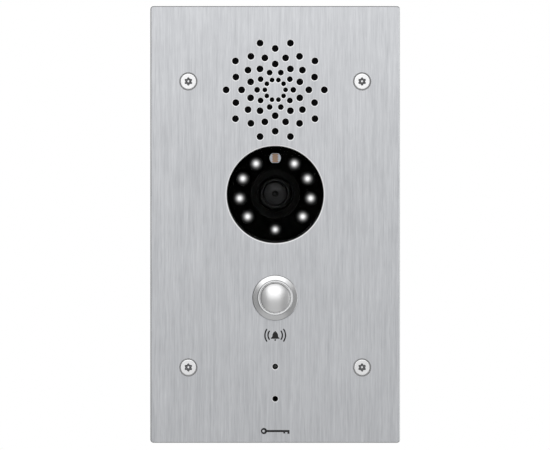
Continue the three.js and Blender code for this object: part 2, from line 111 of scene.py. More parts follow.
def soften(corners: Sequence[Sequence[float]], radius: float | Sequence[float], closed: bool = True,
           steps: int = 3) -> Line:
    """Rounds the corners of a line.

    Each corner gives way to a circular arc that touches both its sides: the rational curve of second degree
    whose middle point is the corner, weighted by the cosine of half the turn. A further point on either side
    keeps the flats flat in the shading.

    Args:
        corners: the line's corners, no two of them in one place.
        radius: the arcs' radius, one for all or one for each corner, cut down where a side is short.
        closed: whether the last corner joins the first.
        steps: sides to an arc.

    Returns:
        The points of the rounded line.
    """
    points = np.asarray(corners, float)
    before, after = np.roll(points, 1, 0) - points, np.roll(points, -1, 0) - points
    lengths = np.linalg.norm([before, after], axis=-1)
    before, after = before / lengths[0][:, None], after / lengths[1][:, None]
    turn = math.pi - np.arccos(np.clip((before * after).sum(-1), -1, 1))
    room = lengths.min(0)
    reach = np.minimum(np.asarray(radius) * np.tan(np.minimum(turn, 3.0) / 2) + 1e-4, 0.42 * room)
    rest = np.minimum(reach * 1.3, 0.47 * room)
    t = np.linspace(0, 1, steps + 1)[None, :, None]
    first, last = (points + before * reach[:, None])[:, None], (points + after * reach[:, None])[:, None]
    middle = 2 * np.cos(turn / 2)[:, None, None] * t * (1 - t)
    total = (1 - t) ** 2 + middle + t ** 2
    arc = ((1 - t) ** 2 * first + middle * points[:, None] + t ** 2 * last) / total
    lead, tail = points + before * rest[:, None], points + after * rest[:, None]
    whole = np.concatenate([lead[:, None], arc, tail[:, None]], 1)
    if closed:
        return whole.reshape(-1, 2)
    return np.vstack([points[:1], whole[1:-1].reshape(-1, 2), points[-1:]])


def rounded_box(width: float, height: float, corner: float, across: float = 0.0, up: float = 0.0,
                steps: int = 6) -> Line:
    """A rectangle round its centre with its corners rounded."""
    half = np.array([[-1, -1], [1, -1], [1, 1], [-1, 1]]) * [width / 2, height / 2]
    return soften(half + [across, up], corner, steps=steps)


def inset(line: Line, distance: float) -> Line:
    """A closed line moved to its left: each corner goes along the sum of its two sides' normals, divided by half
    that sum's squared length, so that both sides move by the distance.

    Args:
        line: the line's points.
        distance: how far each side moves.

    Returns:
        As many points as the line has.
    """
    ahead = np.roll(line, -1, 0) - line
    ahead /= np.linalg.norm(ahead, axis=-1, keepdims=True)
    left = np.stack([-ahead[:, 1], ahead[:, 0]], -1)
    both = left + np.roll(left, 1, 0)
    return line + distance * 2 * both / (both ** 2).sum(-1, keepdims=True)


def edge_rows(front: float, back: float, front_round: float = 0.2, back_round: float = 0.2,
              steps: int = 3) -> np.ndarray:
    """The edge of a flat piece: a quarter round at the front and one at the back.

    Args:
        front: the depth of its front face.
        back: the depth of its back face.
        front_round: the radius of the front round.
        back_round: the radius of the back round.
        steps: sides to a round.

    Returns:
        Inset and depth of each row, from the front.
    """
    turn = np.linspace(0, math.pi / 2, steps + 1)
    top = np.stack([front_round * (1 - np.sin(turn)), front - front_round * (1 - np.cos(turn))], -1)
    low = np.stack([back_round * (1 - np.cos(turn)), back + back_round * (1 - np.sin(turn))], -1)
    return np.vstack([top, low])


def inside(places: Line, lines: Sequence[Line]) -> np.ndarray:
    """Tells which places lie within the lines: a ray to the right crosses them an odd number of times.

    Args:
        places: points of the plane.
        lines: closed lines.

    Returns:
        Yes or no for each place.
    """
    odd = np.zeros(len(places), bool)
    for line in lines:
        x0, y0 = line[:, 0], line[:, 1]
        x1, y1 = np.roll(x0, -1), np.roll(y0, -1)
        x, y = places[:, :1], places[:, 1:]
        spans = (y0 > y) != (y1 > y)
        rise = np.where(y1 == y0, 1.0, y1 - y0)
        odd ^= (spans & (x < x0 + (x1 - x0) * (y - y0) / rise)).sum(1) % 2 == 1
    return odd


# ---------------------------------------------------------------- surfaces


class Facing(Enum):
    """Which way a piece's own third axis points. Each value's rows give across, up and out."""

    OUT = ((1, 0, 0), (0, 1, 0), (0, 0, 1))
    DOWN = ((1, 0, 0), (0, 0, -1), (0, 1, 0))
    INTO = ((-1, 0, 0), (0, 1, 0), (0, 0, -1))


@dataclass(frozen=True)
class Spot:
    """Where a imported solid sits, in millimetres."""

    across: float
    up: float
    front: float
    back: float
    width: float
    height: float

    @classmethod
    def of(cls, node: str) -> "Spot":
        """Reads a solid's spot from its box.

        Args:
            node: the solid's name.

        Returns:
            Its spot.
        """
        low, high = (np.array(corner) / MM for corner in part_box(node))
        across, up = (low[0] + high[0]) / 2, (low[2] + high[2]) / 2
        return cls(across, up, -low[1], -high[1], high[0] - low[0], high[2] - low[2])


def clean(mesh: bpy.types.Mesh, merge: float, sliver: float) -> None:
    """Joins points that lie together, drops slivers and turns every face outwards.

    Args:
        mesh: the mesh.
        merge: how near points are joined, in metres.
        sliver: how short an edge is dropped, in metres.
    """
    work = bmesh.new()
    work.from_mesh(mesh)
    bmesh.ops.remove_doubles(work, verts=work.verts, dist=merge)
    bmesh.ops.dissolve_degenerate(work, edges=work.edges, dist=sliver)
    bmesh.ops.recalc_face_normals(work, faces=work.faces)
    work.to_mesh(mesh)
    work.free()


class Shell:
    """A closed surface while it is put together from grids of points and flat caps, in its own frame."""

    def __init__(self) -> None:
        """Starts with no points."""
        self.points: list[np.ndarray] = []
        self.faces: list[list[int]] = []
        self.tints: list[int] = []
        self.smooth: list[bool] = []
        self.size = 0

    def _keep(self, points: np.ndarray, faces: np.ndarray, tint: int, smooth: bool) -> None:
        """Adds points and faces.

        Args:
            points: the new points.
            faces: the corners of each face, counted from the first new point.
            tint: which of the piece's finishes the faces take.
            smooth: whether they are shaded as one rounded surface.
        """
        self.points.append(points)
        self.faces += (faces + self.size).tolist()
        self.tints += [tint] * len(faces)
        self.smooth += [smooth] * len(faces)
        self.size += len(points)

    def grid(self, rows: Rows, looped: bool = False, tint: int = 0) -> None:
        """Joins rows of points, each a closed ring, into four-sided faces.

        Args:
            rows: the rings.
            looped: whether the last ring joins the first.
            tint: which of the piece's finishes the faces take.
        """
        count, ring = rows.shape[:2]
        index = np.arange(count * ring).reshape(count, ring)
        index = np.hstack([index, index[:, :1]])
        if looped:
            index = np.vstack([index, index[:1]])
        sides = [index[:-1, :-1], index[:-1, 1:], index[1:, 1:], index[1:, :-1]]
        self._keep(rows.reshape(-1, 3), np.stack(sides, -1).reshape(-1, 4), tint, True)

    def cap(self, lines: Sequence[Line], depth: float, tint: int = 0) -> None:
        """Fills a flat face inside the first line and outside the others with the Delaunay triangles that keep
        every line as an edge.

        Args:
            lines: the outline, then its holes.
            depth: where the face lies.
            tint: which of the piece's finishes it takes.
        """
        flat = np.vstack(lines)
        edges, start = [], 0
        for line in lines:
            ring = np.arange(len(line)) + start
            edges.append(np.stack([ring, np.roll(ring, -1)], -1))
            start += len(line)
        made = delaunay_2d_cdt(flat.tolist(), np.vstack(edges).tolist(), [], 1, 1e-6)
        corners = np.array([tuple(point) for point in made[0]])
        triangles = np.array(made[2])
        triangles = triangles[inside(corners[triangles].mean(1), lines)]
        self._keep(np.column_stack([corners, np.full(len(corners), depth)]), triangles, tint, False)

    def prism(self, outline: Line, rows: np.ndarray, holes: Sequence[tuple] = (), tint: int = 0,
              edge_tint: int | None = None) -> None:
        """A flat piece: its outline and holes carried through the insets and depths of their rows, with flat
        ends.

        Args:
            outline: the outline, turning left.
            rows: inset and depth of each ring down its edge.
            holes: for each, its line, turning left as well, its rows, and a finish for its front rows, up to
                the given one, if it has one of its own.
            tint: which of the piece's finishes the flat faces take.
            edge_tint: which of them the edges take.
        """
        edge_tint = tint if edge_tint is None else edge_tint
        walls = [(outline, rows, edge_tint, 1)]
        walls += [(line[::-1], steps, *(own or (edge_tint, 1))) for line, steps, *own in holes]
        for line, steps, own, until in walls:
            rings = np.stack([np.column_stack([inset(line, d), np.full(len(line), z)]) for d, z in steps])
            self.grid(rings[:until + 1], tint=own)
            self.grid(rings[until:], tint=edge_tint)
        for end in (0, -1):
            self.cap([inset(line, steps[end][0]) for line, steps, *_ in walls], rows[end][1], tint)

    def lathe(self, profile: np.ndarray, sides: int = 64, looped: bool = False, across: float = 0.0,
              up: float = 0.0, tint: int = 0) -> None:
        """Turns a profile about an axis.

        Args:
            profile: radius and depth of each ring; a radius may be a whole ring of radii, as for a thread.
            sides: sides to a ring.
            looped: whether the last ring joins the first.
            across: where the axis stands, across.
            up: where it stands, upwards.
            tint: which of the piece's finishes the surface takes.
        """
        turn = full_turn(sides)
        rings = [np.broadcast_arrays(across + r * np.cos(turn), up + r * np.sin(turn), z) for r, z in profile]
        self.grid(np.stack([np.stack(ring, -1) for ring in rings]), looped, tint)

    def block(self, middle: Sequence[float], size: Sequence[float], front: float, back: float,
              edge: float = 0.15, tint: int = 0) -> None:
        """Adds a box with softened edges.

        Args:
            middle: across and up of its middle.
            size: its width and height.
            front: the depth of its front face.
            back: the depth of its back face.
            edge: the radius of its edges.
            tint: which of the piece's finishes it takes.
        """
        self.prism(rounded_box(*size, edge, *middle, steps=2), edge_rows(front, back, edge, edge, 2), tint=tint)

    def tube(self, path: np.ndarray, radius: float, sides: int = 12, axis: Sequence[float] = (0, 0, 1),
             tint: int = 0) -> None:
        """Runs a wire along a path: rings across its direction, started from the cross product of that with an
        axis. Both ends draw in to a small disc, so that they are round.

        Args:
            path: the points of its middle line.
            radius: the wire's radius.
            sides: sides to a ring.
            axis: any direction that the path never takes.
            tint: which of the piece's finishes it takes.
        """
        ahead = np.gradient(path, axis=0)
        ahead /= np.linalg.norm(ahead, axis=-1, keepdims=True)
        side = np.cross(ahead, axis)
        side /= np.linalg.norm(side, axis=-1, keepdims=True)
        other = np.cross(side, ahead)
        turn = full_turn(sides)[None, :, None]
        rings = np.cos(turn) * side[:, None] + np.sin(turn) * other[:, None]
        lean = np.array([0.0, 0.6, 0.9])
        start = path[0] + 0 * rings[:1] + lean[:, None, None] * rings[:1] * radius
        start = start - ahead[0] * radius * 0.4 * (1 - lean[:, None, None])
        end = path[-1] + lean[::-1, None, None] * rings[-1:] * radius
        end = end + ahead[-1] * radius * 0.4 * (1 - lean[::-1, None, None])
        self.grid(np.concatenate([start, path[:, None] + radius * rings, end]), tint=tint)

    def finish(self, name: str, finishes: Sequence["Finish"], *, stands_for: Sequence[str] = (),
               body: str = "panel", at: Sequence[float] = (0, 0, 0), facing: Facing = Facing.OUT,
               slot: str | None = None) -> bpy.types.Object:
        """Makes the surface into a piece of the panel.

        Args:
            name: the piece's name.
            finishes: what its tints are made of.
            stands_for: the solids that it replaces.
            body: the body that it moves with.
            at: where its own origin lies: across, up and out.
            facing: which way its own third axis points.
            slot: not used; it is worked out as the record's finish slot, taken from the first replaced solid unless
                given, but the piece isn't given it.

        Returns:
            The piece.
        """
        turn = np.array(facing.value, float)
        panel = np.vstack(self.points) @ turn.T + at
        world = np.column_stack([panel[:, 0], -panel[:, 2], panel[:, 1]]) * MM
        mesh = bpy.data.meshes.new(name)
        mesh.from_pydata(world.tolist(), [], self.faces)
        mesh.polygons.foreach_set("material_index", self.tints)
        mesh.polygons.foreach_set("use_smooth", self.smooth)
        clean(mesh, MERGE, SLIVER)
        smooth = np.zeros(len(mesh.polygons), bool)
        mesh.polygons.foreach_get("use_smooth", smooth)
        mesh.set_sharp_from_angle(angle=SHARP)
        mesh.polygons.foreach_set("use_smooth", smooth)
        places = np.zeros(len(mesh.vertices) * 3)
        mesh.vertices.foreach_get("co", places)
        places = places.reshape(-1, 3) / MM
        own = (np.column_stack([places[:, 0], places[:, 2], -places[:, 1]]) - at) @ turn
        from_axis = mesh.attributes.new("from_axis", "FLOAT", "POINT")
        from_axis.data.foreach_set("value", np.hypot(own[:, 0], own[:, 1]).astype(np.float32))
        for each in finishes:
            mesh.materials.append(each.material())
        piece = bpy.data.objects.new(name, mesh)
        bpy.context.scene.collection.objects.link(piece)
        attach(piece, body)
        if stands_for:
            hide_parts(*stands_for)
            slot = slot or SLOTS[stands_for[0]]
        log.info("%s: %d faces on %s", name, len(mesh.polygons), body)
        return piece

    def stand_in(self, node: str, kind: str, finishes: Sequence["Finish"], **more: object) -> bpy.types.Object:
        """Makes the surface into the finer piece of one solid, on that solid's axis.

        Args:
            node: the solid.
            kind: what the piece's name adds to the solid's.
            finishes: what its tints are made of.
            more: whatever else finish takes.

        Returns:
            The piece.
        """
        spot = Spot.of(node)
        return self.finish(f"{node}_{kind}", finishes, stands_for=[node],
                           **{"at": (spot.across, spot.up, 0), **more})


SLOTS: dict[str, str] = {each["node"]: each["material_slot"] for each in frame["record"]["subparts"]}


# ---------------------------------------------------------------- finishes


class Tree:
    """A node tree while it is put together."""

    def __init__(self, tree: bpy.types.NodeTree) -> None:
        """Takes an empty or a new tree."""
        self.nodes, self.links = tree.nodes, tree.links

    def add(self, kind: str, inputs: Mapping[str | int, object] | None = None,
            **settings: object) -> bpy.types.Node:
        """Adds a node.

        Args:
            kind: the node's type, without its leading ShaderNode.
            inputs: a value or another node's output for each named or numbered input.
            settings: the node's own properties.

        Returns:
            The node.
        """
        node = self.nodes.new("ShaderNode" + kind)
        for key, value in settings.items():
            setattr(node, key, value)
        for key, value in (inputs or {}).items():
            if isinstance(value, bpy.types.NodeSocket):
                self.links.new(value, node.inputs[key])
            else:
                node.inputs[key].default_value = value
        return node

    def from_axis(self) -> Socket:
        """The distance from the piece's own axis, in millimetres."""
        return self.add("Attribute", attribute_name="from_axis").outputs["Fac"]

    def math(self, operation: str, first: Socket | float, second: Socket | float = 0.0) -> Socket:
        """The result of one operation on one or two numbers."""
        return self.add("Math", {0: first, 1: second}, operation=operation).outputs[0]

    def spread(self, value: Socket | float, low: float, high: float, start: Socket | float = 0.0,
               end: Socket | float = 1.0, smooth: bool = False) -> Socket:
        """Carries a value from one range to another and holds it there.

        Args:
            value: the value.
            low: the start of its range.
            high: the end of its range.
            start: what the low end becomes.
            end: what the high end becomes.
            smooth: whether it sets off and arrives gently.

        Returns:
            The value in its new range.
        """
        ranges = {"Value": value, "From Min": low, "From Max": high, "To Min": start, "To Max": end}
        curve = "SMOOTHSTEP" if smooth else "LINEAR"
        return self.add("MapRange", ranges, interpolation_type=curve).outputs[0]

    def blend(self, factor: Socket | float, first: Socket | Tone, second: Socket | Tone) -> Socket:
        """The first colour turned into the second."""
        colours = {6: colour(first), 7: colour(second), 0: factor}
        return self.add("Mix", colours, data_type="RGBA").outputs[2]

    def scaled(self, place: Socket, scale: Sequence[float]) -> Socket:
        """A place stretched along each axis."""
        return self.add("Mapping", {"Vector": place, "Scale": scale}).outputs[0]

    def noise(self, place: Socket, scale: float, detail: float = 2.0, rough: float = 0.5) -> Socket:
        """Soft noise, spread to fill the range from 0 to 1."""
        settings = {"Vector": place, "Scale": scale, "Detail": detail, "Roughness": rough}
        return self.spread(self.add("TexNoise", settings).outputs[0], *NOISE_RANGE)


def grey(level: float) -> Tone:
    """A tone without colour."""
    return level, level, level


def colour(tone: Socket | Tone) -> object:
    """A tone with its alpha; an output as it is."""
    return tone if isinstance(tone, bpy.types.NodeSocket) else (*tone, 1.0)


def brushed(tree: Tree, place: Socket) -> Socket:
    """Long upright streaks: noise drawn out along the brushing, in three widths.

    Args:
        tree: the group's nodes.
        place: where to draw it, counted in the pattern's own pitch.

    Returns:
        The shade, from 0 to 1.
    """
    hair = tree.noise(tree.scaled(place, (2.6, 2.6, 0.09)), 1.0, 2.0)
    streak = tree.noise(tree.scaled(place, (0.9, 0.9, 0.035)), 1.0, 3.0)
    band = tree.noise(tree.scaled(place, (0.24, 0.24, 0.012)), 1.0, 1.0)
    both = tree.math("ADD", tree.math("MULTIPLY", hair, 0.34), tree.math("MULTIPLY", streak, 0.46))
    return tree.math("ADD", both, tree.math("MULTIPLY", band, 0.2))


def turned(tree: Tree, place: Socket) -> Socket:
    """Fine rings: noise along the distance from the axis, which is the place's first number.

    Args:
        tree: the group's nodes.
        place: where to draw it, counted in the pattern's own pitch.

    Returns:
        The shade, from 0 to 1.
    """
    away = tree.add("SeparateXYZ", {0: place}).outputs[0]
    settings = {"W": away, "Scale": 1.0, "Detail": 3.0, "Roughness": 0.65}
    return tree.spread(tree.add("TexNoise", settings, noise_dimensions="1D").outputs[0], *NOISE_RANGE)


def mottled(tree: Tree, place: Socket) -> Socket:
    """Soft clouds of several sizes.

    Args:
        tree: the group's nodes.
        place: where to draw it, counted in the pattern's own pitch.

    Returns:
        The shade, from 0 to 1.
    """
    return tree.noise(place, 1.0, 4.0, 0.6)


def sparked(tree: Tree, place: Socket) -> Socket:
    """The pebbled skin that a spark-eroded mould leaves: rounded cells under fine noise.

    Args:
        tree: the group's nodes.
        place: where to draw it, counted in the pattern's own pitch.

    Returns:
        The shade, from 0 to 1.
    """
    cells = tree.add("TexVoronoi", {"Vector": place, "Scale": 1.0, "Smoothness": 0.6}, feature="SMOOTH_F1")
    pebbles = tree.spread(cells.outputs["Distance"], 0.0, 0.8, 1.0, 0.0, smooth=True)
    return tree.add("Mix", {0: 0.4, 2: pebbles, 3: tree.noise(place, 2.3, 3.0)}).outputs[0]


def woven(tree: Tree, place: Socket) -> Socket:
    """A plain weave: two sets of threads as sine waves, each on top where the sum of both phases is even.

    Args:
        tree: the group's nodes.
        place: where to draw it, counted in the pattern's own pitch.

    Returns:
        The shade, from 0 to 1.
    """
    across, _, up = tree.add("SeparateXYZ", {0: place}).outputs
    over = tree.math("SINE", tree.math("MULTIPLY", across, 2 * math.pi))
    under = tree.math("SINE", tree.math("MULTIPLY", up, 2 * math.pi))
    crossing = tree.math("MULTIPLY", over, under)
    threads = tree.math("MAXIMUM", tree.math("ABSOLUTE", over), tree.math("ABSOLUTE", under))
    return tree.spread(tree.math("ADD", crossing, threads), -0.4, 1.9)


def fibrous(tree: Tree, place: Socket) -> Socket:
    """Pressed fibres: the ridges of noise, bent by more noise.

    Args:
        tree: the group's nodes.
        place: where to draw it, counted in the pattern's own pitch.

    Returns:
        The shade, from 0 to 1.
    """
    settings = {"Vector": place, "Scale": 1.0, "Detail": 5.0, "Roughness": 0.62, "Distortion": 1.6}
    fibre = tree.add("TexNoise", settings).outputs[0]
    return tree.spread(tree.math("ABSOLUTE", tree.math("SUBTRACT", fibre, 0.5)), 0.0, 0.14, 1.0, 0.0)


def cellular(tree: Tree, place: Socket) -> Socket:
    """Open pores in foam: the walls between cells stand up.

    Args:
        tree: the group's nodes.
        place: where to draw it, counted in the pattern's own pitch.

    Returns:
        The shade, from 0 to 1.
    """
    cells = tree.add("TexVoronoi", {"Vector": place, "Scale": 1.0}, feature="DISTANCE_TO_EDGE")
    return tree.spread(cells.outputs["Distance"], 0.0, 0.25, 1.0, 0.0, smooth=True)


def tracked(tree: Tree, place: Socket) -> Socket:
    """Copper tracks under the lacquer of a circuit board: the walls of cells measured along the two axes, which
    run straight and turn at half right angles.

    Args:
        tree: the group's nodes.
        place: where to draw it, counted in the pattern's own pitch.

    Returns:
        The shade, from 0 to 1.
    """
    cells = tree.add("TexVoronoi", {"Vector": place, "Scale": 1.0}, distance="MANHATTAN", feature="F2")
    near = tree.add("TexVoronoi", {"Vector": place, "Scale": 1.0}, distance="MANHATTAN", feature="F1")
    gap = tree.math("SUBTRACT", cells.outputs["Distance"], near.outputs["Distance"])
    return tree.spread(tree.math("PINGPONG", gap, 0.14), 0.05, 0.08)


class Grain(Enum):
    """The pattern in a finish, as the group of nodes that draws it."""

    BRUSHED = "brushed"
    TURNED = "turned"
    MOTTLED = "mottled"
    SPARKED = "sparked"
    WOVEN = "woven"
    FIBROUS = "fibrous"
    CELLULAR = "cellular"
    TRACKED = "tracked"

    def group(self) -> bpy.types.NodeTree:
        """Builds the group, once: it takes a place counted in the grain's own pitch.

        Returns:
            The group, which puts out a shade from 0 to 1 that is also the grain's height.
        """
        name = self.value + "_grain"
        if name in bpy.data.node_groups:
            return bpy.data.node_groups[name]
        made = bpy.data.node_groups.new(name, "ShaderNodeTree")
        made.interface.new_socket("Place", in_out="INPUT", socket_type="NodeSocketVector")
        made.interface.new_socket("Shade", in_out="OUTPUT", socket_type="NodeSocketFloat")
        ends = [made.nodes.new("NodeGroup" + end) for end in ("Input", "Output")]
        shade = GRAINS[self](Tree(made), ends[0].outputs[0])
        made.links.new(shade, ends[1].inputs[0])
        return made


GRAINS = {
    Grain.BRUSHED: brushed, Grain.TURNED: turned, Grain.MOTTLED: mottled, Grain.SPARKED: sparked,
    Grain.WOVEN: woven, Grain.FIBROUS: fibrous, Grain.CELLULAR: cellular, Grain.TRACKED: tracked,
}


@dataclass(frozen=True)
class Finish:
    """A finish of two tones. Its grain turns one into the other and moves the gloss and the height with it, and
    soft clouds of handling lie over both.

    Attributes:
        name: the material's name.
        dark: the tone in the grain's hollows.
        light: the tone on its tops.
        grain: the grain's pattern.
        pitch: the grain's size, in millimetres.
        roughness: from hollow to top.
        metallic: 1 for bare metal.
        relief: the grain's height, in millimetres.
        clouds: how much the clouds darken it.
        specular: the strength of its surface's reflection.
        coat: the strength of a lacquer over it.
    """

    name: str
    dark: Tone
    light: Tone
    grain: Grain = Grain.MOTTLED
    pitch: float = 1.0
    roughness: tuple[float, float] = (0.4, 0.5)
    metallic: float = 0.0
    relief: float = 0.01
    clouds: float = 0.05
    specular: float = 0.5
    coat: float = 0.0

    def place(self, tree: Tree) -> Socket:
        """Finds where the grain is drawn.

        Args:
            tree: the material's nodes.

        Returns:
            The piece's own place, or its distance from its axis if it is turned.
        """
        if self.grain is Grain.TURNED:
            away = tree.from_axis()
            return tree.add("CombineXYZ", {0: tree.math("DIVIDE", away, self.pitch)}).outputs[0]
        own = tree.add("TexCoord").outputs["Object"]
        return tree.scaled(own, (1 / self.pitch / MM,) * 3)

    def tone(self, tree: Tree, shade: Socket) -> Socket:
        """The colour at a shade of the grain."""
        return tree.blend(shade, self.dark, self.light)

    def settle(self, tree: Tree, shader: bpy.types.Node) -> None:
        """Sets what only this kind of finish has: nothing, in a plain one."""

    @cache
    def material(self) -> bpy.types.Material:
        """Builds the finish, once.

        Returns:
            The material.
        """
        made = bpy.data.materials.new(self.name + "_finish")
        made.use_nodes = True
        made.node_tree.nodes.clear()
        tree = Tree(made.node_tree)
        shade = tree.add("Group", node_tree=self.grain.group())
        tree.links.new(self.place(tree), shade.inputs[0])
        shade = shade.outputs[0]
        far = tree.scaled(tree.add("TexCoord").outputs["Object"], (CLOUDS,) * 3)
        clouds = tree.add("Group", node_tree=Grain.MOTTLED.group())
        tree.links.new(far, clouds.inputs[0])
        clouds = clouds.outputs[0]
        base = tree.blend(tree.math("MULTIPLY", clouds, self.clouds), self.tone(tree, shade), grey(0.0))
        gloss = tree.spread(shade, 0.0, 1.0, *self.roughness)
        gloss = tree.math("ADD", gloss, tree.math("MULTIPLY", clouds, self.clouds))
        bump = tree.add("Bump", {"Height": shade, "Strength": 1.0, "Distance": self.relief * MM})
        inputs = {"Base Color": base, "Roughness": gloss, "Normal": bump.outputs[0], "Metallic": self.metallic,
                  "Specular IOR Level": self.specular, "Coat Weight": self.coat, "Coat Roughness": COAT_ROUGHNESS}
        shader = tree.add("BsdfPrincipled", inputs)
        self.settle(tree, shader)
        tree.add("OutputMaterial", {0: shader.outputs[0]})
        return made


@dataclass(frozen=True)
class Clear(Finish):
    """A clear moulding. It hardly reflects, as if it were coated, unless its index is set higher."""

    index: float = 1.04

    def settle(self, tree: Tree, shader: bpy.types.Node) -> None:
        """Lets light through."""
        shader.inputs["Transmission Weight"].default_value = 1.0
        shader.inputs["IOR"].default_value = self.index


@dataclass(frozen=True)
class Glowing(Finish):
    """A lamp's epoxy, lit from within: the light falls off as the bell curve of the distance from its axis, and its
    tail runs on past the epoxy as a faint painted glow on the black collar.

    Attributes:
        strength: the light at the middle.
        reach: the distance, in millimetres, at which it has fallen to a third.
    """

    strength: float = 1.15
    reach: float = 1.35

    def settle(self, tree: Tree, shader: bpy.types.Node) -> None:
        """Puts the glow on the shader.

        Args:
            tree: the material's nodes.
            shader: its surface.
        """
        away = tree.from_axis()
        share = tree.math("POWER", tree.math("DIVIDE", away, self.reach), 2.0)
        glow = tree.math("EXPONENT", tree.math("MULTIPLY", share, -1.0))
        tree.links.new(tree.blend(glow, grey(0.0), grey(1.0)), shader.inputs["Emission Color"])
        shader.inputs["Emission Strength"].default_value = self.strength


@dataclass(frozen=True)
class PaintedPupilLens(Finish):
    """A front lens that lets no light through: its coating shows round a near-black disc painted within the
    opening, painted shade for the lens's dark inside.

    Attributes:
        opening: the opening's radius, in millimetres.
    """

    opening: float = 1.45

    def tone(self, tree: Tree, shade: Socket) -> Socket:
        """Paints the coating near black within the opening: painted shade for the lens's dark inside.

        Args:
            tree: the material's nodes.
            shade: the grain's shade.

        Returns:
            The colour.
        """
        away = tree.from_axis()
        outside_painted_pupil = tree.spread(away, self.opening - 0.15, self.opening + 0.15, smooth=True)
        # painted shade: near black inside the opening, the coating's own tone outside it
        return tree.blend(outside_painted_pupil, (0.0006, 0.0006, 0.0007), super().tone(tree, shade))


STEEL = dict(metallic=1.0, grain=Grain.MOTTLED, relief=0.004, pitch=0.6)
MOULDED = dict(grain=Grain.SPARKED, pitch=0.35, relief=0.012, roughness=(0.42, 0.56))
SOFT = dict(grain=Grain.MOTTLED, pitch=0.5, relief=0.02, roughness=(0.72, 0.86), specular=0.3)

PLATE = Finish("plate_brushed", (0.475, 0.486, 0.508), (0.755, 0.767, 0.79), Grain.BRUSHED, 0.55,
               (0.31, 0.37), 1.0, relief=0.0012, clouds=0.03)
PLATE_EDGE = Finish("plate_cut_edge", (0.50, 0.51, 0.52), (0.66, 0.67, 0.68), Grain.BRUSHED, 0.3, (0.2, 0.26),
                    1.0, relief=0.002)
# A flat rim of the plate's steel round each hole, given a lighter tone than the plate: a painted highlight along
# the holes' edges.
RIM_PAINTED_HIGHLIGHT = Finish("hole_rim_painted_highlight", (0.80, 0.805, 0.815), (0.90, 0.905, 0.91), Grain.TURNED, 0.05, (0.28, 0.36),
             1.0, relief=0.001, clouds=0.01)
# The countersinks round the screw heads, dark and hardly metallic: painted shade of the gap between head and plate.
COUNTERSINK_SHADE = Finish("countersink_painted_shade", (0.36, 0.362, 0.37), (0.46, 0.462, 0.47), Grain.MOTTLED, 0.2, (0.45, 0.55),
              0.1, relief=0.002)
# A darker copy of the screws' steel for their sockets and the slots' floors: painted shade in these recesses.
SOCKET_SHADE = Finish("screw_socket_painted_shade", (0.42, 0.422, 0.43), (0.54, 0.542, 0.55), Grain.MOTTLED, 0.3, (0.34, 0.44), 0.8,
                relief=0.002)
SCREW = Finish("screw_steel", (0.90, 0.902, 0.91), (0.99, 0.99, 0.995), Grain.TURNED, 0.08, (0.26, 0.34), 1.0,
               relief=0.002)
BUTTON = Finish("button_turned", (0.77, 0.775, 0.782), (0.89, 0.895, 0.902), Grain.TURNED, 0.07, (0.19, 0.24),
                1.0, relief=0.0012, clouds=0.02)
CAP = Finish("button_cap_turned", (0.93, 0.933, 0.938), (0.988, 0.99, 0.992), Grain.TURNED, 0.07, (0.28, 0.33),
             1.0, relief=0.0012, clouds=0.02)
ZINC = Finish("zinc_plate", (0.50, 0.505, 0.52), (0.70, 0.705, 0.72), roughness=(0.3, 0.45), **STEEL)
SPRING = Finish("spring_wire", (0.36, 0.365, 0.37), (0.58, 0.585, 0.59), roughness=(0.25, 0.35), **STEEL)
CAPSULE = Finish("capsule_can", (0.66, 0.665, 0.675), (0.82, 0.825, 0.83), roughness=(0.28, 0.4), **STEEL)
SHIELD = Finish("socket_shield", (0.60, 0.605, 0.61), (0.80, 0.80, 0.805), roughness=(0.24, 0.34), **STEEL)
GOLD = Finish("contact_gold", (0.78, 0.53, 0.20), (0.93, 0.68, 0.30), roughness=(0.22, 0.3), **STEEL)
FERRITE = Finish("magnet_ferrite", (0.05, 0.05, 0.054), (0.10, 0.10, 0.105), Grain.MOTTLED, 0.3, (0.6, 0.75),
                 relief=0.02)
MOULDING = Finish("black_moulding", (0.009, 0.009, 0.0095), (0.016, 0.016, 0.017), **MOULDED)
HOUSING = Finish("housing_moulding", (0.022, 0.0225, 0.024), (0.04, 0.041, 0.043), **MOULDED)
SHROUD = Finish("shroud_black", grey(0.0002), grey(0.0006), Grain.SPARKED, 0.3, (0.8, 0.9),
                relief=0.01, specular=0.015)
BARREL = Finish("lens_barrel_black", grey(0.0005), grey(0.0014), Grain.TURNED, 0.1,
                (0.42, 0.5), relief=0.002, specular=0.22)
PLUNGER = Finish("plunger_moulding", (0.55, 0.55, 0.54), (0.68, 0.68, 0.67), **MOULDED)
TERMINAL = Finish("terminal_green", (0.015, 0.17, 0.06), (0.03, 0.26, 0.10), **MOULDED)
RUBBER = Finish("black_rubber", (0.008, 0.008, 0.0085), (0.018, 0.018, 0.019), **SOFT)
BAFFLE = Finish("baffle_black", (0.0034, 0.0034, 0.0035), (0.0052, 0.0052, 0.0053), Grain.MOTTLED, 0.3, (0.8, 0.9),
                relief=0.01, specular=0.03)
FOAM = Finish("gasket_foam", (0.009, 0.009, 0.0095), (0.035, 0.035, 0.037), Grain.CELLULAR, 0.45, (0.85, 0.95),
              relief=0.06, specular=0.2)
CLOTH = Finish("acoustic_cloth", (0.0015, 0.0015, 0.0016), (0.010, 0.010, 0.0105), Grain.WOVEN, 0.32, (0.8, 0.95),
               relief=0.03, specular=0.15)
PAPER = Finish("cone_paper", (0.022, 0.021, 0.02), (0.055, 0.052, 0.048), Grain.FIBROUS, 0.8, (0.8, 0.95),
               relief=0.04)
CERAMIC = Finish("sensor_ceramic", (0.62, 0.68, 0.78), (0.80, 0.85, 0.93), Grain.MOTTLED, 0.4, (0.3, 0.4))
TRACK = Finish("sensor_track", (0.42, 0.25, 0.15), (0.60, 0.40, 0.27), Grain.MOTTLED, 0.3, (0.4, 0.5))
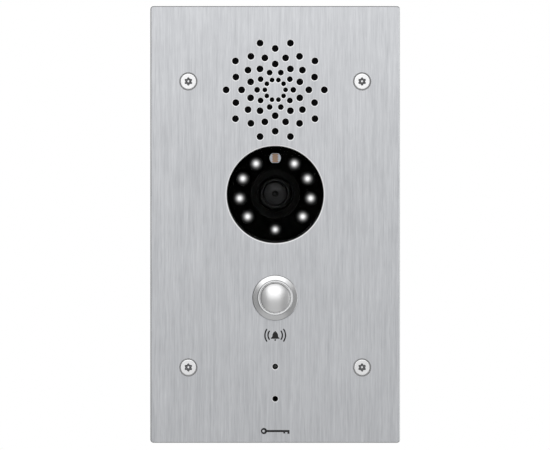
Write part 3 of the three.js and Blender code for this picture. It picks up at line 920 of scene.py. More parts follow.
TINNED = Finish("tinned_leg", grey(0.6), grey(0.8), roughness=(0.3, 0.4), **STEEL)
BOARD_GREEN = Finish("board_green", (0.012, 0.085, 0.035), (0.03, 0.16, 0.07), Grain.TRACKED, 3.0, (0.3, 0.42),
                     relief=0.02, coat=0.3)
BOARD_BLACK = Finish("board_black", grey(0.0002), grey(0.0008), Grain.TRACKED, 2.5,
                     (0.7, 0.8), relief=0.005, specular=0.01)
SLEEVE = Finish("lead_sleeve", (0.012, 0.012, 0.013), (0.03, 0.03, 0.032), Grain.WOVEN, 0.5, (0.5, 0.6))
INK = Finish("mark_ink", (0.006, 0.006, 0.0065), (0.014, 0.014, 0.015), Grain.MOTTLED, 0.25, (0.5, 0.62),
             relief=0.004)
WINDOW = Clear("clear_window", (0.97, 0.975, 0.98), grey(1.0), Grain.MOTTLED, 3.0, (0.0, 0.02), relief=0.0,
               clouds=0.0)
GUIDE = Clear("light_guide", (0.62, 0.64, 0.66), (0.78, 0.80, 0.82), Grain.MOTTLED, 1.0, (0.12, 0.2), relief=0.004,
              index=1.45)
# The front lens is opaque; the near-black disc within its opening is painted shade for the lens's dark inside.
LENS = PaintedPupilLens("lens_coating_painted_pupil", (0.0040, 0.0040, 0.0044), (0.0060, 0.0060, 0.0067), Grain.TURNED, 1.2,
                 (0.33, 0.37), relief=0.0, specular=0.3)
# The lamps' glow is real light on the domes and a faint painted glow where it spreads onto the collars.
LAMP = Glowing("lamp_epoxy", grey(0.0004), grey(0.001), Grain.TURNED, 0.5, (0.4, 0.5),
               relief=0.0, specular=0.02)
LAMP_LOW = Glowing("lamp_epoxy_low_and_collar_glow", grey(0.0004), grey(0.001), Grain.TURNED, 0.5,
                   (0.4, 0.5), relief=0.0, specular=0.02, strength=1.05, reach=1.22)


# ---------------------------------------------------------------- faceplate


def corners_of(across: float, up: float) -> list[tuple[float, float]]:
    """The four corners of a rectangle round the panel's centre, upper left first."""
    return [(-across, up), (across, up), (-across, -up), (across, -up)]


@dataclass
class Faceplate:
    """The brushed plate with its holes, the four security screws, the gasket behind it and its printed marks."""

    corner: float = 1.5
    edge: float = 0.42
    rings: Sequence[float] = (1.1, 1.34, 1.58, 1.58, 1.58, 1.58)
    per_ring: int = 10
    first_ring: float = 4.97
    ring_pitch: float = 3.73
    window: float = 23.3
    window_edge: float = 0.6
    button_hole: float = 9.6
    pin_hole: float = 1.3
    mouth: float = 4.3
    land: float = 0.46
    thread_hole: float = 2.25
    gasket_band: float = 5.0
    bell_drop: float = 18.4
    key_up: float = -99.3
    ink: float = 0.025

    def grille(self) -> list[tuple[float, float, float]]:
        """Places the sound holes in rings of ten, the third and fifth turned by half a step.

        Returns:
            Across, up and radius of each hole.
        """
        up = Spot.of("speaker_mesh").up
        places = []
        for ring, hole in enumerate(self.rings):
            away = self.first_ring + ring * self.ring_pitch
            start = math.pi / self.per_ring if ring in (2, 4) else 0.0
            turn = start + np.arange(self.per_ring) * 2 * math.pi / self.per_ring
            places += [(away * math.cos(t), up + away * math.sin(t), hole) for t in turn.tolist()]
        return places

    def build_plate(self) -> None:
        """The plate: its outline and holes in one flat piece, with countersinks for the screws."""
        spot = Spot.of("faceplate")
        front, back = spot.front, spot.back
        plain = edge_rows(front, back, 0.12, 0.08, 2)
        # each sound hole's and pin hole's rim, up to its third row, takes the lighter tone of the painted highlight
        turned = self.highlight_rim_rows(0.4, front, back)
        holes = [(circle(r, 32, x, y), turned, 2, 2) for x, y, r in self.grille()]
        button, status, microphone = (Spot.of(n).up for n in ("button_bezel", "status_light_pipe", "microphone"))
        holes.append((circle(self.button_hole, 64, 0, button), plain))
        holes += [(circle(self.pin_hole, 28, 0, up), turned, 2, 2) for up in (status, microphone)]
        deep = self.mouth - self.thread_hole
        sink = np.array([[0.1, front], [0.02, front - 0.015], [0, front - 0.06], [-self.land, front - 0.3],
                         [-self.land, front - self.land], [-deep, front - deep], [-deep, back + 0.1],
                         [0.1 - deep, back]])
        screw = Spot.of("panel_screw_2")
        # each countersink, up to its fifth row, takes the dark tone of the painted shade round the screw head
        holes += [(circle(self.mouth, 48, x, y), sink, 3, 4) for x, y in corners_of(screw.across, screw.up)]
        window = circle(self.window, 144, 0, Spot.of("camera_window").up)
        # the window's rim takes the same lighter tone, a painted highlight round the opening
        holes.append((window, self.highlight_rim_rows(self.window_edge, front, back), 2, 2))
        shell = Shell()
        outline = rounded_box(spot.width, spot.height, self.corner, spot.across, spot.up)
        shell.prism(outline, self.chamfer(self.edge, front, back), holes, edge_tint=1)
        shell.finish("faceplate_brushed", [PLATE, PLATE_EDGE, RIM_PAINTED_HIGHLIGHT, COUNTERSINK_SHADE], stands_for=["faceplate"])

    @staticmethod
    def chamfer(size: float, front: float, back: float) -> np.ndarray:
        """Inset and depth down an edge with a straight chamfer in front."""
        return np.array([[size, front], [0.9 * size, front - 0.1 * size], [0.1 * size, front - 0.9 * size],
                         [0, front - 1.1 * size], [0, back + 0.15], [0.15, back]])

    @staticmethod
    def highlight_rim_rows(size: float, front: float, back: float) -> np.ndarray:
        """Inset and depth down a hole's edge: a ring that hardly slopes, which takes a lighter tone as a painted
        highlight, a small round and the wall.
        """
        return np.array([[size, front], [0.85 * size, front - 0.005], [0.1, front - 0.02], [0, front - 0.13],
                         [0, back + 0.08], [0.08, back]])

    def build_gasket(self) -> None:
        """The foam ring between plate and wall, with its edges rounded as pressed foam is."""
        spot = Spot.of("wall_gasket")
        rows = edge_rows(spot.front, spot.back, 0.35, 0.3, 4)
        hole = rounded_box(spot.width - 2 * self.gasket_band, spot.height - 2 * self.gasket_band, 2.0)
        shell = Shell()
        shell.prism(rounded_box(spot.width, spot.height, 2.0), rows, [(hole, rows)])
        shell.finish("wall_gasket_foam", [FOAM], stands_for=["wall_gasket"])

    def build_marks(self) -> None:
        """The printed marks, a hair proud of the plate: a ringing bell under the button, a key at the bottom."""
        front = Spot.of("faceplate").front
        ink = edge_rows(front + self.ink, front - 0.03, 0.01, 0.01, 1)
        bell = Shell()
        body = [(-2.05, -1.35), (2.05, -1.35), (2.05, -1.0), (1.42, -0.35), (1.28, 0.85), (0.8, 1.7), (0.3, 1.95),
                (0.3, 2.35), (-0.3, 2.35), (-0.3, 1.95), (-0.8, 1.7), (-1.28, 0.85), (-1.42, -0.35), (-2.05, -1.0)]
        bell.prism(soften(body, 0.45, steps=4), ink)
        bell.prism(circle(0.42, 24, 0, -1.95), ink)
        for away in (3.45, 4.95):
            for side in (0.0, math.pi):
                bell.prism(self.sound_arc(away, side), ink)
        up = Spot.of("button_bezel").up
        bell.finish("bell_mark", [INK], at=(0, up - self.bell_drop, 0), slot="black_rubber")
        key = Shell()
        bow = circle(1.5, 40, -5.4, 0)
        bow = bow[np.abs(np.arctan2(bow[:, 1], bow[:, 0] + 5.4)) > 0.34]
        shaft = [(6.9, -1.3), (6.9, 0.5), (-4.0, 0.5)]
        teeth = [(-4.0, -0.5), (3.9, -0.5), (3.9, -1.15), (4.8, -1.15), (4.8, -0.5), (5.9, -0.5), (5.9, -1.3)]
        key.prism(np.vstack([shaft, bow, teeth]), ink, [(circle(0.62, 28, -5.6, 0), ink)])
        key.finish("key_mark", [INK], at=(0, self.key_up, 0), slot="black_rubber")

    @staticmethod
    def sound_arc(away: float, side: float, spread: float = 0.6, half: float = 0.34) -> Line:
        """Draws a short thick arc with round ends: out along one radius and back along another.

        Args:
            away: the arc's distance from the bell.
            side: the direction of its middle.
            spread: half of its opening.
            half: half of its thickness.

        Returns:
            Its outline.
        """
        turn = np.linspace(-spread, spread, 15)
        back = np.linspace(-spread, spread, 15)[::-1]
        end = np.linspace(0, math.pi, 7)[1:-1]
        outer = np.stack([np.cos(turn + side), np.sin(turn + side)], -1) * (away + half)
        inner = np.stack([np.cos(back + side), np.sin(back + side)], -1) * (away - half)
        centres = [away * np.array([math.cos(side + s), math.sin(side + s)]) for s in (spread, -spread)]
        first = centres[0] + half * np.stack([np.cos(end + side + spread), np.sin(end + side + spread)], -1)
        last = centres[1] + half * np.stack([np.cos(end + side - spread + math.pi),
                                             np.sin(end + side - spread + math.pi)], -1)
        return np.vstack([outer, first, inner, last]) + [0, 0.35]

    def build(self) -> None:
        """Builds the plate's own pieces."""
        self.build_plate()
        self.build_gasket()
        self.build_marks()
        for number in range(1, 5):
            PanelScrew(f"panel_screw_{number}").build()


@dataclass
class PanelScrew:
    """A countersunk security screw: a six-lobed socket round a standing pin, and a rolled thread."""

    node: str
    head: float = 3.8
    shank: float = 1.95
    rim: float = 0.25
    tip: float = 1.97
    valley: float = 1.43
    socket_depth: float = 1.7
    pin: float = 0.56
    pitch: float = 0.7
    thread_depth: float = 0.43
    lobes: int = 6

    def build(self) -> None:
        """The screw in one skin from its tip over the head to the top of the pin. The socket's radius swings six
        times a turn between valley and tip; the thread's falls and rises with height and turn together."""
        spot = Spot.of(self.node)
        top, end = spot.front, spot.back
        sides = 96
        turn = full_turn(sides)
        swing = np.cos(self.lobes * (turn - math.pi / 2))
        star = (self.tip + self.valley) / 2 + (self.tip - self.valley) / 2 * swing * (1 - 0.12 * swing)
        neck = top - self.rim - (self.head - self.shank)
        heights = np.arange(end + 0.6, neck - 0.3, self.pitch / 6)
        tooth = thread(self.pitch, heights, turn)
        fade = np.clip((neck - 0.4 - heights) / 0.8, 0, 1)[:, None]
        rolled = [(self.shank - self.thread_depth * row, z) for row, z in zip(tooth * fade, heights.tolist())]
        rise = self.head - self.shank
        outside = [(0.0, end), (1.2, end), (1.42, end + 0.3), *rolled, (self.shank, neck),
                   (self.shank + rise, neck + rise), (self.head, top - 0.16), (self.head - 0.05, top - 0.05),
                   (self.head - 0.16, top), (self.head - 0.45, top)]
        floor = top - self.socket_depth
        edge = (star + 0.03, top - 0.05)
        foot = (self.pin, floor + 0.12)
        socket = [edge, (star, top - 0.2), (star, floor + 0.75), (star - 0.2, floor + 0.55),
                  (self.pin + 0.12, floor), foot]
        pin = [foot, (self.pin, top - 0.35), (self.pin - 0.06, top - 0.25), (self.pin - 0.2, top - 0.2),
               (0.0, top - 0.19)]
        shell = Shell()
        shell.lathe([*outside, (star + 0.35, top), (star + 0.1, top), edge], sides)
        # the socket's walls and floor take the darker tone: painted shade in the recess
        shell.lathe(socket, sides, tint=1)
        shell.lathe(pin, sides)
        shell.stand_in(self.node, "steel", [SCREW, SOCKET_SHADE])


# ---------------------------------------------------------------- turned pieces


@dataclass(frozen=True)
class TurnedPiece:
    """A round solid of one finish, replaced by a finer turned skin of the same profile.

    Attributes:
        node: the solid that it replaces.
        profile: its corners as radius and depth, with the outside going up, open if it starts on the axis.
        finish: what it is made of.
        round: the radius of its edges, one for all or one for each corner.
        sides: sides to a turn.
        body: the body that it moves with.
    """

    node: str
    profile: Sequence[tuple[float, float]]
    finish: Finish
    round: float | Sequence[float] = 0.12
    sides: int = 96
    body: str = "panel"

    def build(self, name: str | None = None) -> bpy.types.Object:
        """Turns the profile about the solid's axis.

        Args:
            name: the piece's name, if it isn't the solid's with an ending.

        Returns:
            The piece.
        """
        spot = Spot.of(self.node)
        ring = self.profile[0][0] > 0
        shell = Shell()
        shell.lathe(soften(self.profile, self.round, closed=ring), self.sides, looped=ring)
        return shell.finish(name or self.node + "_turned", [self.finish], stands_for=[self.node], body=self.body,
                            at=(spot.across, spot.up, 0))


@dataclass(frozen=True)
class WireSpring:
    """A compression spring of round wire whose end turns lie closed.

    Attributes:
        node: the solid that it replaces.
        radius: of the coil's centre line.
        wire: the wire's radius.
        joint: what presses it; not used.
        from_front: whether its front end is the one that moves; not used.
        travel: how far that end moves; not used.
        turns: open turns between the two closed ones.
    """

    node: str
    radius: float
    wire: float
    joint: str
    from_front: bool
    travel: float = 2.5
    turns: float = 4.0

    def build(self) -> None:
        """The helix: it climbs by little more than the wire's width in the first and the last three quarters of
        a turn, and evenly between them."""
        spot = Spot.of(self.node)
        low, high = spot.back + self.wire, spot.front - self.wire
        whole = self.turns + 1.5
        turn = np.linspace(0, whole, int(whole * 28))
        pitch = 2.1 * self.wire
        rise = np.clip((turn - 0.75) / (whole - 1.5), 0, 1)
        height = low + (high - low - 2 * pitch) * rise + pitch * np.clip(turn / 0.75, 0, 1)
        height = height + pitch * np.clip((turn - whole + 0.75) / 0.75, 0, 1)
        angle = 2 * math.pi * turn
        path = np.stack([self.radius * np.cos(angle), self.radius * np.sin(angle), height], -1)
        shell = Shell()
        shell.tube(path, self.wire, 10)
        wire = shell.stand_in(self.node, "wire", [SPRING])
        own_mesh(wire)


# ---------------------------------------------------------------- loudspeaker


@dataclass
class Loudspeaker:
    """The driver behind the grille: cloth, gasket, basket, cone, magnet and lead."""

    cloth: float = 25.3

    def build(self) -> None:
        """Builds each turned piece, then the lead."""
        cloth = Spot.of("speaker_mesh")
        dip = [(0, cloth.back), (self.cloth, cloth.back), (self.cloth, cloth.front), (0, cloth.front)]
        TurnedPiece("speaker_mesh", dip, CLOTH, 0.08).build("speaker_cloth")
        foam = Spot.of("speaker_gasket")
        ring = [(23.2, foam.back), (25.2, foam.back), (25.2, foam.front), (23.2, foam.front)]
        TurnedPiece("speaker_gasket", ring, FOAM, 0.2).build()
        basket = [(5.6, -10.2), (12.2, -10.2), (21.5, -7.4), (23.4, -1.4), (25.2, -1.4), (25.2, 0.1), (23.2, 0.1),
                  (20.7, -6.7), (12.2, -9.3), (5.6, -9.3)]
        TurnedPiece("speaker_frame", basket, ZINC, 0.4).build("speaker_basket")
        cone = [(0, -7.4), (5, -7.4), (17.5, -1.9), (22.2, -0.5), (22.2, 0), (19.8, 0.05), (17.5, -1.3), (6, -6.3),
                (3.4, -5.1), (0, -4.8)]
        TurnedPiece("speaker_cone", cone, PAPER, 0.5).build("speaker_paper_cone")
        magnet = [(0, -16.4), (11.4, -16.4), (11.4, -15.2), (12.6, -15.2), (12.6, -10.5), (4.2, -10.5), (4.2, -8),
                  (0, -8)]
        TurnedPiece("speaker_magnet", magnet, FERRITE, 0.25).build("speaker_ring_magnet")
        self.build_lead()

    def build_lead(self) -> None:
        """The lead: two twisted wires, each a tube whose middle circles the route's own line."""
        route = [(12, 55, -10.6), (15, 50, -11.8), (18, 45, -13.2), (20, 40, -15.4), (21, 34, -18.9)]
        line, step = through(route, 90), np.linspace(0, 4, 90)
        kernel = np.ones(17) / 17
        padded = np.pad(line, ((8, 8), (0, 0)), mode="reflect", reflect_type="odd")
        line = np.stack([np.convolve(padded[:, k], kernel, "valid") for k in range(3)], -1)
        shell = Shell()
        for phase in (0.0, math.pi):
            twist = step * 5.2 + phase
            offset = np.stack([np.cos(twist), 0.4 * np.sin(twist), np.sin(twist)], -1) * 0.36
            shell.tube(line + offset, 0.4, 10, axis=(1, 0, 0.2))
        shell.finish("speaker_lead_pair", [SLEEVE], stands_for=["speaker_lead"])


# ---------------------------------------------------------------- camera


@dataclass
class Camera:
    """The camera behind its round window, with its ring of night lights and the daylight sensor."""

    lamp: float = 2.5
    collar: float = 3.55
    sensor: float = 2.72
    sensor_flat: float = 2.3
    track: float = 1.35

    def build(self) -> None:
        """Builds the camera from the window inwards."""
        window = [(0, -0.3), (24.7, -0.3), (24.7, 0.85), (23.1, 0.85), (23.1, 3.3), (22.95, 3.4), (0, 3.4)]
        TurnedPiece("camera_window", window, WINDOW, 0.06, 144).build("camera_clear_window")
        seal = [(23.5, 0.95), (24.6, 0.95), (24.6, 1.4), (23.5, 1.4)]
        TurnedPiece("window_seal", seal, RUBBER, 0.15, 120).build()
        self.build_shroud()
        board = [(8.6, -7.2), (22.1, -7.2), (22.1, -6), (8.6, -6)]
        TurnedPiece("night_light_board", board, BOARD_BLACK, 0.1, 96).build("night_light_ring_board")
        for number in range(1, 10):
            self.build_lamp(f"night_light_{number}")
        self.build_sensor()
        self.build_lens()

    @staticmethod
    def build_shroud() -> None:
        """The shroud, a black cup whose front edge is bevelled, from nothing above to its full width below."""
        cup = [(22.3, -1.3), (22.3, -7.3), (21.3, -7.3), (21.3, -11), (9.5, -11), (9.5, -12), (23.7, -12),
               (23.7, -1.35), (24.9, -1.35), (24.9, -0.4), (23.05, -0.4)]
        turn = full_turn(120)
        bevel = 22.98 - 0.66 * np.clip(-1.4 * np.sin(turn), 0, 1)
        shell = Shell()
        shell.lathe([(bevel, -1.05), *soften(cup, 0.2, closed=False)], 120)
        shell.lathe([cup[-1], (23.0, -0.43), (bevel, -1.05)], 120, tint=1)
        shell.stand_in("camera_shroud", "cup", [SHROUD, RUBBER])

    def build_lamp(self, node: str) -> None:
        """Builds a night light: a domed epoxy body standing in a black collar, both of one glowing finish, so that
        the collar carries a faint painted glow. The dome is a quarter circle of the body's radius, turned.

        Args:
            node: the lamp's solid.
        """
        spot = Spot.of(node)
        top, foot = spot.front, spot.back
        turn = np.linspace(math.pi / 2, 0, 12)
        dome = np.stack([self.lamp * np.sin(turn), top - self.lamp + self.lamp * np.cos(turn)], -1)
        collar = [(0.0, foot), (self.collar, foot), (self.collar, foot + 0.35), (self.collar - 0.3, foot + 0.6),
                  (self.lamp + 0.06, foot + 0.75), (self.lamp, foot + 0.95)]
        shell = Shell()
        shell.lathe(np.vstack([collar, dome]), 48)
        # dome and collar take one glowing finish: lamp light on the dome, a faint painted glow on the collar; the
        # fifth light is dimmer
        finish = LAMP_LOW if node == "night_light_5" else LAMP
        shell.stand_in(node, "lamp", [finish])

    def build_sensor(self) -> None:
        """The daylight sensor: a ceramic disc cut flat above and below, with a brown track whose edges run in
        steps, on two tinned legs."""
        spot = Spot.of("light_sensor")
        turn = math.asin(self.sensor_flat / self.sensor)
        right = np.linspace(-turn, turn, 15)
        arc = np.stack([np.cos(right), np.sin(right)], -1) * self.sensor
        shell = Shell()
        face = spot.front - 0.05
        shell.prism(np.vstack([arc, -arc]), edge_rows(face, face - 2.0, 0.15, 0.1, 3))
        steps = np.linspace(-1, 1, 9) * (self.sensor_flat - 0.2)
        swing = np.where(np.arange(9) % 2, self.track + 0.4, self.track - 0.4)
        edge = np.stack([swing, steps], -1)
        track = np.vstack([edge, np.stack([-swing[::-1], steps[::-1]], -1)])
        shell.prism(soften(track, 0.06, steps=2), edge_rows(face + 0.05, face - 0.2, 0.03, 0.01, 1), tint=1)
        for side in (-1, 1):
            shell.lathe([(0, spot.back), (0.3, spot.back), (0.3, face - 1.9), (0, face - 1.9)], 16,
                        across=1.3 * side, tint=2)
        shell.stand_in("light_sensor", "cell", [CERAMIC, TRACK, TINNED])

    def build_lens(self) -> None:
        """The lens: a matt baffle, a barrel whose shoulder falls away outwards, the front glass with its pupil sunk
        in its middle and painted near black as shade, and the holder and board behind."""
        baffle = [(8.4, -5.9), (12, -5.9), (12, -0.9), (11.6, -0.5), (8.8, -0.5), (8.4, -0.9)]
        TurnedPiece("lens_baffle", baffle, BAFFLE, 0.15).build()
        barrel = [(1.45, -14.5), (5.95, -14.5), (5.95, -5.7), (8.1, -5.7), (8.1, -3.0), (7.5, -2.1), (6.4, -1.5),
                  (5.95, -1.85), (5.7, -2.6), (5.7, -5), (1.45, -5)]
        TurnedPiece("lens_barrel", barrel, BARREL, 0.4).build("lens_barrel_turned")
        glass = [(0, -4.9), (5.6, -4.9), (5.6, -3.1)]
        away = np.linspace(5.3, 1.6, 12)
        dome = [(r, -1.6 - 1.2 * (r / 5.3) ** 2) for r in away.tolist()]
        pupil = [(1.45, -1.75), (1.3, -2.0), (0, -4.6)]
        TurnedPiece("lens_glass", glass + dome + pupil, LENS, 0.05).build("lens_front_glass")
        spot = Spot.of("lens_holder")
        holder = Shell()
        foot = edge_rows(spot.back + 2.6, spot.back, 0.3, 0.15)
        holder.prism(rounded_box(spot.width, spot.height, 1.5), foot, [(circle(6.1, 64), foot)])
        neck = [(6.1, -12.4), (7.6, -12.4), (7.6, -8.0), (6.1, -8.0)]
        holder.lathe(soften(neck, 0.2), 72, looped=True)
        holder.stand_in("lens_holder", "moulded", [MOULDING])
        self.build_board()

    def build_board(self) -> None:
        """The camera board with the chips and small parts on its back."""
        spot = Spot.of("camera_board")
        board = Shell()
        board.prism(rounded_box(spot.width, spot.height, 2), edge_rows(spot.front, spot.back, 0.08, 0.08, 1))
        back = spot.back
        chips = [(-6, 2, 9, 9, 1.1), (7, 6, 5, 7, 0.9), (6, -8, 8, 3.6, 1.6), (-9, -11, 3, 2, 0.7),
                 (-3, -11, 3, 2, 0.7)]
        for x, y, width, height, deep in chips:
            board.block((x, y), (width, height), back, back - deep, tint=1)
        board.stand_in("camera_board", "made", [BOARD_GREEN, MOULDING])


# ---------------------------------------------------------------- call button


@dataclass
class CallButton:
    """The push button: bezel with its rounded lip, domed cap, seal, nut, spring and contact block."""

    dome: float = 16.6
    cap: float = 6.8
    nut_flats: float = 23.0

    def build(self) -> None:
        """Builds the button's pieces; the cap moves with the call button's body."""
        bezel = [(8.1, -13.5), (9.4, -13.5), (9.4, 4.1), (9.75, 4.1), (9.75, 4.7), (10.75, 4.7), (10.75, 4.1),
                 (11, 4.1), (11, 4.8), (10.65, 5.17), (8.5, 5.85), (8.2, 6.2), (7.6, 6.2), (7.43, 6.0),
                 (7.43, 2.6), (8.1, 2.6)]
        edges = [0.2, 0.2, 0.05, 0.05, 0.05, 0.05, 0.05, 0.05, 0.3, 0.25, 0.3, 0.25, 0.22, 0.2, 0.1, 0.1]
        TurnedPiece("button_bezel", bezel, BUTTON, edges, 144).build("button_bezel_turned")
        self.build_cap()
        seal = [(9.9, 4.05), (10.55, 4.05), (10.55, 4.6), (9.9, 4.6)]
        TurnedPiece("button_seal", seal, RUBBER, 0.2).build()
        self.build_nut()
        WireSpring("button_spring", 5.5, 0.35, "call_button_press", from_front=True).build()
        self.build_contacts()

    def build_cap(self) -> None:
        """The cap: its top is a cap of a sphere, whose height falls by the sphere's radius less the root of that
        radius squared less the distance squared."""
        top = Spot.of("button_cap").front
        away = np.linspace(self.cap - 0.1, 0, 26)
        crown = top - (self.dome - np.sqrt(self.dome ** 2 - away ** 2))
        side = top - (self.dome - math.sqrt(self.dome ** 2 - self.cap ** 2))
        stem = [(0.0, -7.2), (2.8, -7.2), (3.0, -7.0), (3.0, 1.1), (7.7, 1.1), (7.85, 1.25), (7.85, 2.15),
                (7.7, 2.3), (7.05, 2.3), (7.05, side - 0.6), (7.02, side - 0.33), (6.92, side - 0.1)]
        shell = Shell()
        shell.lathe(np.vstack([stem, np.stack([away, crown], -1)]), 128)
        shell.stand_in("button_cap", "domed", [CAP], body="call_button")

    def build_nut(self) -> None:
        """The hexagon nut: six flats whose corners are turned off, so that the radius at each turn is the
        smaller of the hexagon's and a rising cone's."""
        spot = Spot.of("button_nut")
        turn = full_turn(96)
        flats = hexagon(self.nut_flats / 2, turn)
        cone = self.nut_flats / 2 + np.array([0.1, 0.6, 1.2, 2.0])
        low, high = spot.back, spot.front
        depths = np.array([0.0, 0.22, 0.5, 0.8])
        lower = [(np.minimum(flats, c), low + d) for c, d in zip(cone, depths)]
        upper = [(np.minimum(flats, c), high - d) for c, d in zip(cone[::-1], depths[::-1])]
        bore = [(9.9, high), (9.7, high - 0.2), (9.7, low + 0.2), (9.9, low)]
        shell = Shell()
        shell.lathe([*lower, *upper, *bore], 96, looped=True)
        shell.stand_in("button_nut", "hexagon", [ZINC])

    def build_contacts(self) -> None:
        """The contact block, bored for the stem, and its two blades."""
        spot = Spot.of("contact_block")
        shell = Shell()
        block = [(0, -15.8), (9.2, -15.8), (9.2, -13.7), (7.9, -13.7), (7.9, -7), (3.4, -7), (3.4, -10), (0, -10)]
        shell.lathe(soften(block, 0.25, closed=False), 72)
        for x in (-4, 4):
            shell.block((x, 0), (0.5, 2.8), -15.6, spot.back, 0.08, 1)
        shell.stand_in("contact_block", "moulded", [MOULDING, TINNED])


# ---------------------------------------------------------------- status light, microphone, carrier


@dataclass
class InnerParts:
    """The light pipe, the microphone in its boot, and the carrier, spacers and screws that hold it all."""

    standoff: float = 2.85
    screw_head: float = 2.75
    screw_head_high: float = 2.4
    screw_shank: float = 1.45
    screw_pitch: float = 0.5
    screw_thread: float = 0.25
    screw_key: float = 1.25

    def build(self) -> None:
        """Builds the pieces that the carrier clamps, then the carrier and its fixings."""
        pipe = [(0, -19.6), (1.5, -19.6), (1.5, -3.6), (1.05, -3.6), (1.05, 3.55), (0.7, 3.85), (0, 3.9)]
        TurnedPiece("status_light_pipe", pipe, GUIDE, 0.12, 40).build("status_light_guide")
        boot = [(3.2, -5), (5, -5), (5, 1.4), (1, 1.4), (1, -1.2), (3.2, -1.2)]
        TurnedPiece("microphone_boot", boot, RUBBER, 0.3, 64).build("microphone_rubber_boot")
        self.build_microphone()
        self.build_carrier()
        for number in range(1, 5):
            self.build_standoff(f"standoff_{number}")
            self.build_screw(f"housing_screw_{number}")

    def build_microphone(self) -> None:
        """The microphone: a pressed can with black felt over its sound port."""
        can = [(0, -4.2), (2.8, -4.2), (3.1, -4.0), (3.1, -1.3), (2.3, -1.3)]
        shell = Shell()
        shell.lathe(soften(can, 0.12, closed=False), 64)
        shell.lathe([(2.3, -1.3), (2.2, -1.42), (2.0, -1.42), (1.9, -1.32), (0, -1.32)], 64, tint=1)
        shell.stand_in("microphone", "can", [CAPSULE, BAFFLE])

    def build_carrier(self) -> None:
        """The moulded carrier with its round openings."""
        spot = Spot.of("inner_carrier")
        rows = edge_rows(spot.front, spot.back, 0.25, 0.25)
        screw = Spot.of("standoff_2")
        ups = [Spot.of(n).up for n in ("speaker_mesh", "camera_window", "button_bezel", "status_light_pipe",
                                       "microphone")]
        round_holes = [(0, up, r) for up, r in zip(ups, (24, 24, 13.8, 1.7, 5.3))]
        round_holes += [(x, y, 3.3) for x, y in corners_of(screw.across, screw.up)]
        holes = [(circle(r, 72, x, y), rows) for x, y, r in round_holes]
        shell = Shell()
        shell.prism(rounded_box(spot.width, spot.height, 3.5), rows, holes)
        shell.finish("inner_carrier_moulded", [MOULDING], stands_for=["inner_carrier"])

    def build_standoff(self, node: str) -> None:
        """Builds a hexagon spacer with a blind hole.

        Args:
            node: the spacer's solid.
        """
        spot = Spot.of(node)
        turn = full_turn(60)
        flats = hexagon(self.standoff * math.cos(math.pi / 6), turn)
        low, high = spot.back, spot.front
        rows = [(flats - 0.15, low), (flats, low + 0.15), (flats, high - 0.1), (flats - 0.1, high), (0.0, high)]
        bore = [(0.0, -0.5), (1.6, -0.5), (1.6, low + 0.2), (1.8, low)]
        shell = Shell()
        shell.lathe([*bore, *rows], 60)
        shell.stand_in(node, "hexagon", [ZINC])

    def build_screw(self, node: str) -> None:
        """Builds a socket head screw: its head's wall is knurled, and its socket is a hexagon.

        Args:
            node: the screw's solid.
        """
        spot = Spot.of(node)
        turn = full_turn(96)
        flats = hexagon(self.screw_key * math.cos(math.pi / 6), turn)
        knurl = self.screw_head - 0.09 * (np.arange(96) % 4 == 0)
        low, seat, high = spot.back, spot.back + self.screw_head_high, spot.front
        socket = [(0.0, low + 1.3), (flats, low + 1.3), (flats, low + 0.12), (flats + 0.12, low)]
        head = [(self.screw_head - 0.35, low), (self.screw_head - 0.12, low + 0.12), (knurl, low + 0.35),
                (knurl, seat - 0.12), (self.screw_head - 0.12, seat)]
        heights = np.arange(seat + 0.8, high - 0.3, 0.09)
        tooth = thread(self.screw_pitch, heights, turn)
        rolled = [(self.screw_shank - self.screw_thread * row, z) for row, z in zip(tooth, heights.tolist())]
        shell = Shell()
        neck = [(self.screw_shank, seat), (self.screw_shank, seat + 0.7)]
        shell.lathe([*socket, *head, *neck, *rolled, (1.1, high), (0.0, high)], 96)
        shell.stand_in(node, "socket_head", [ZINC])


# ---------------------------------------------------------------- rear housing


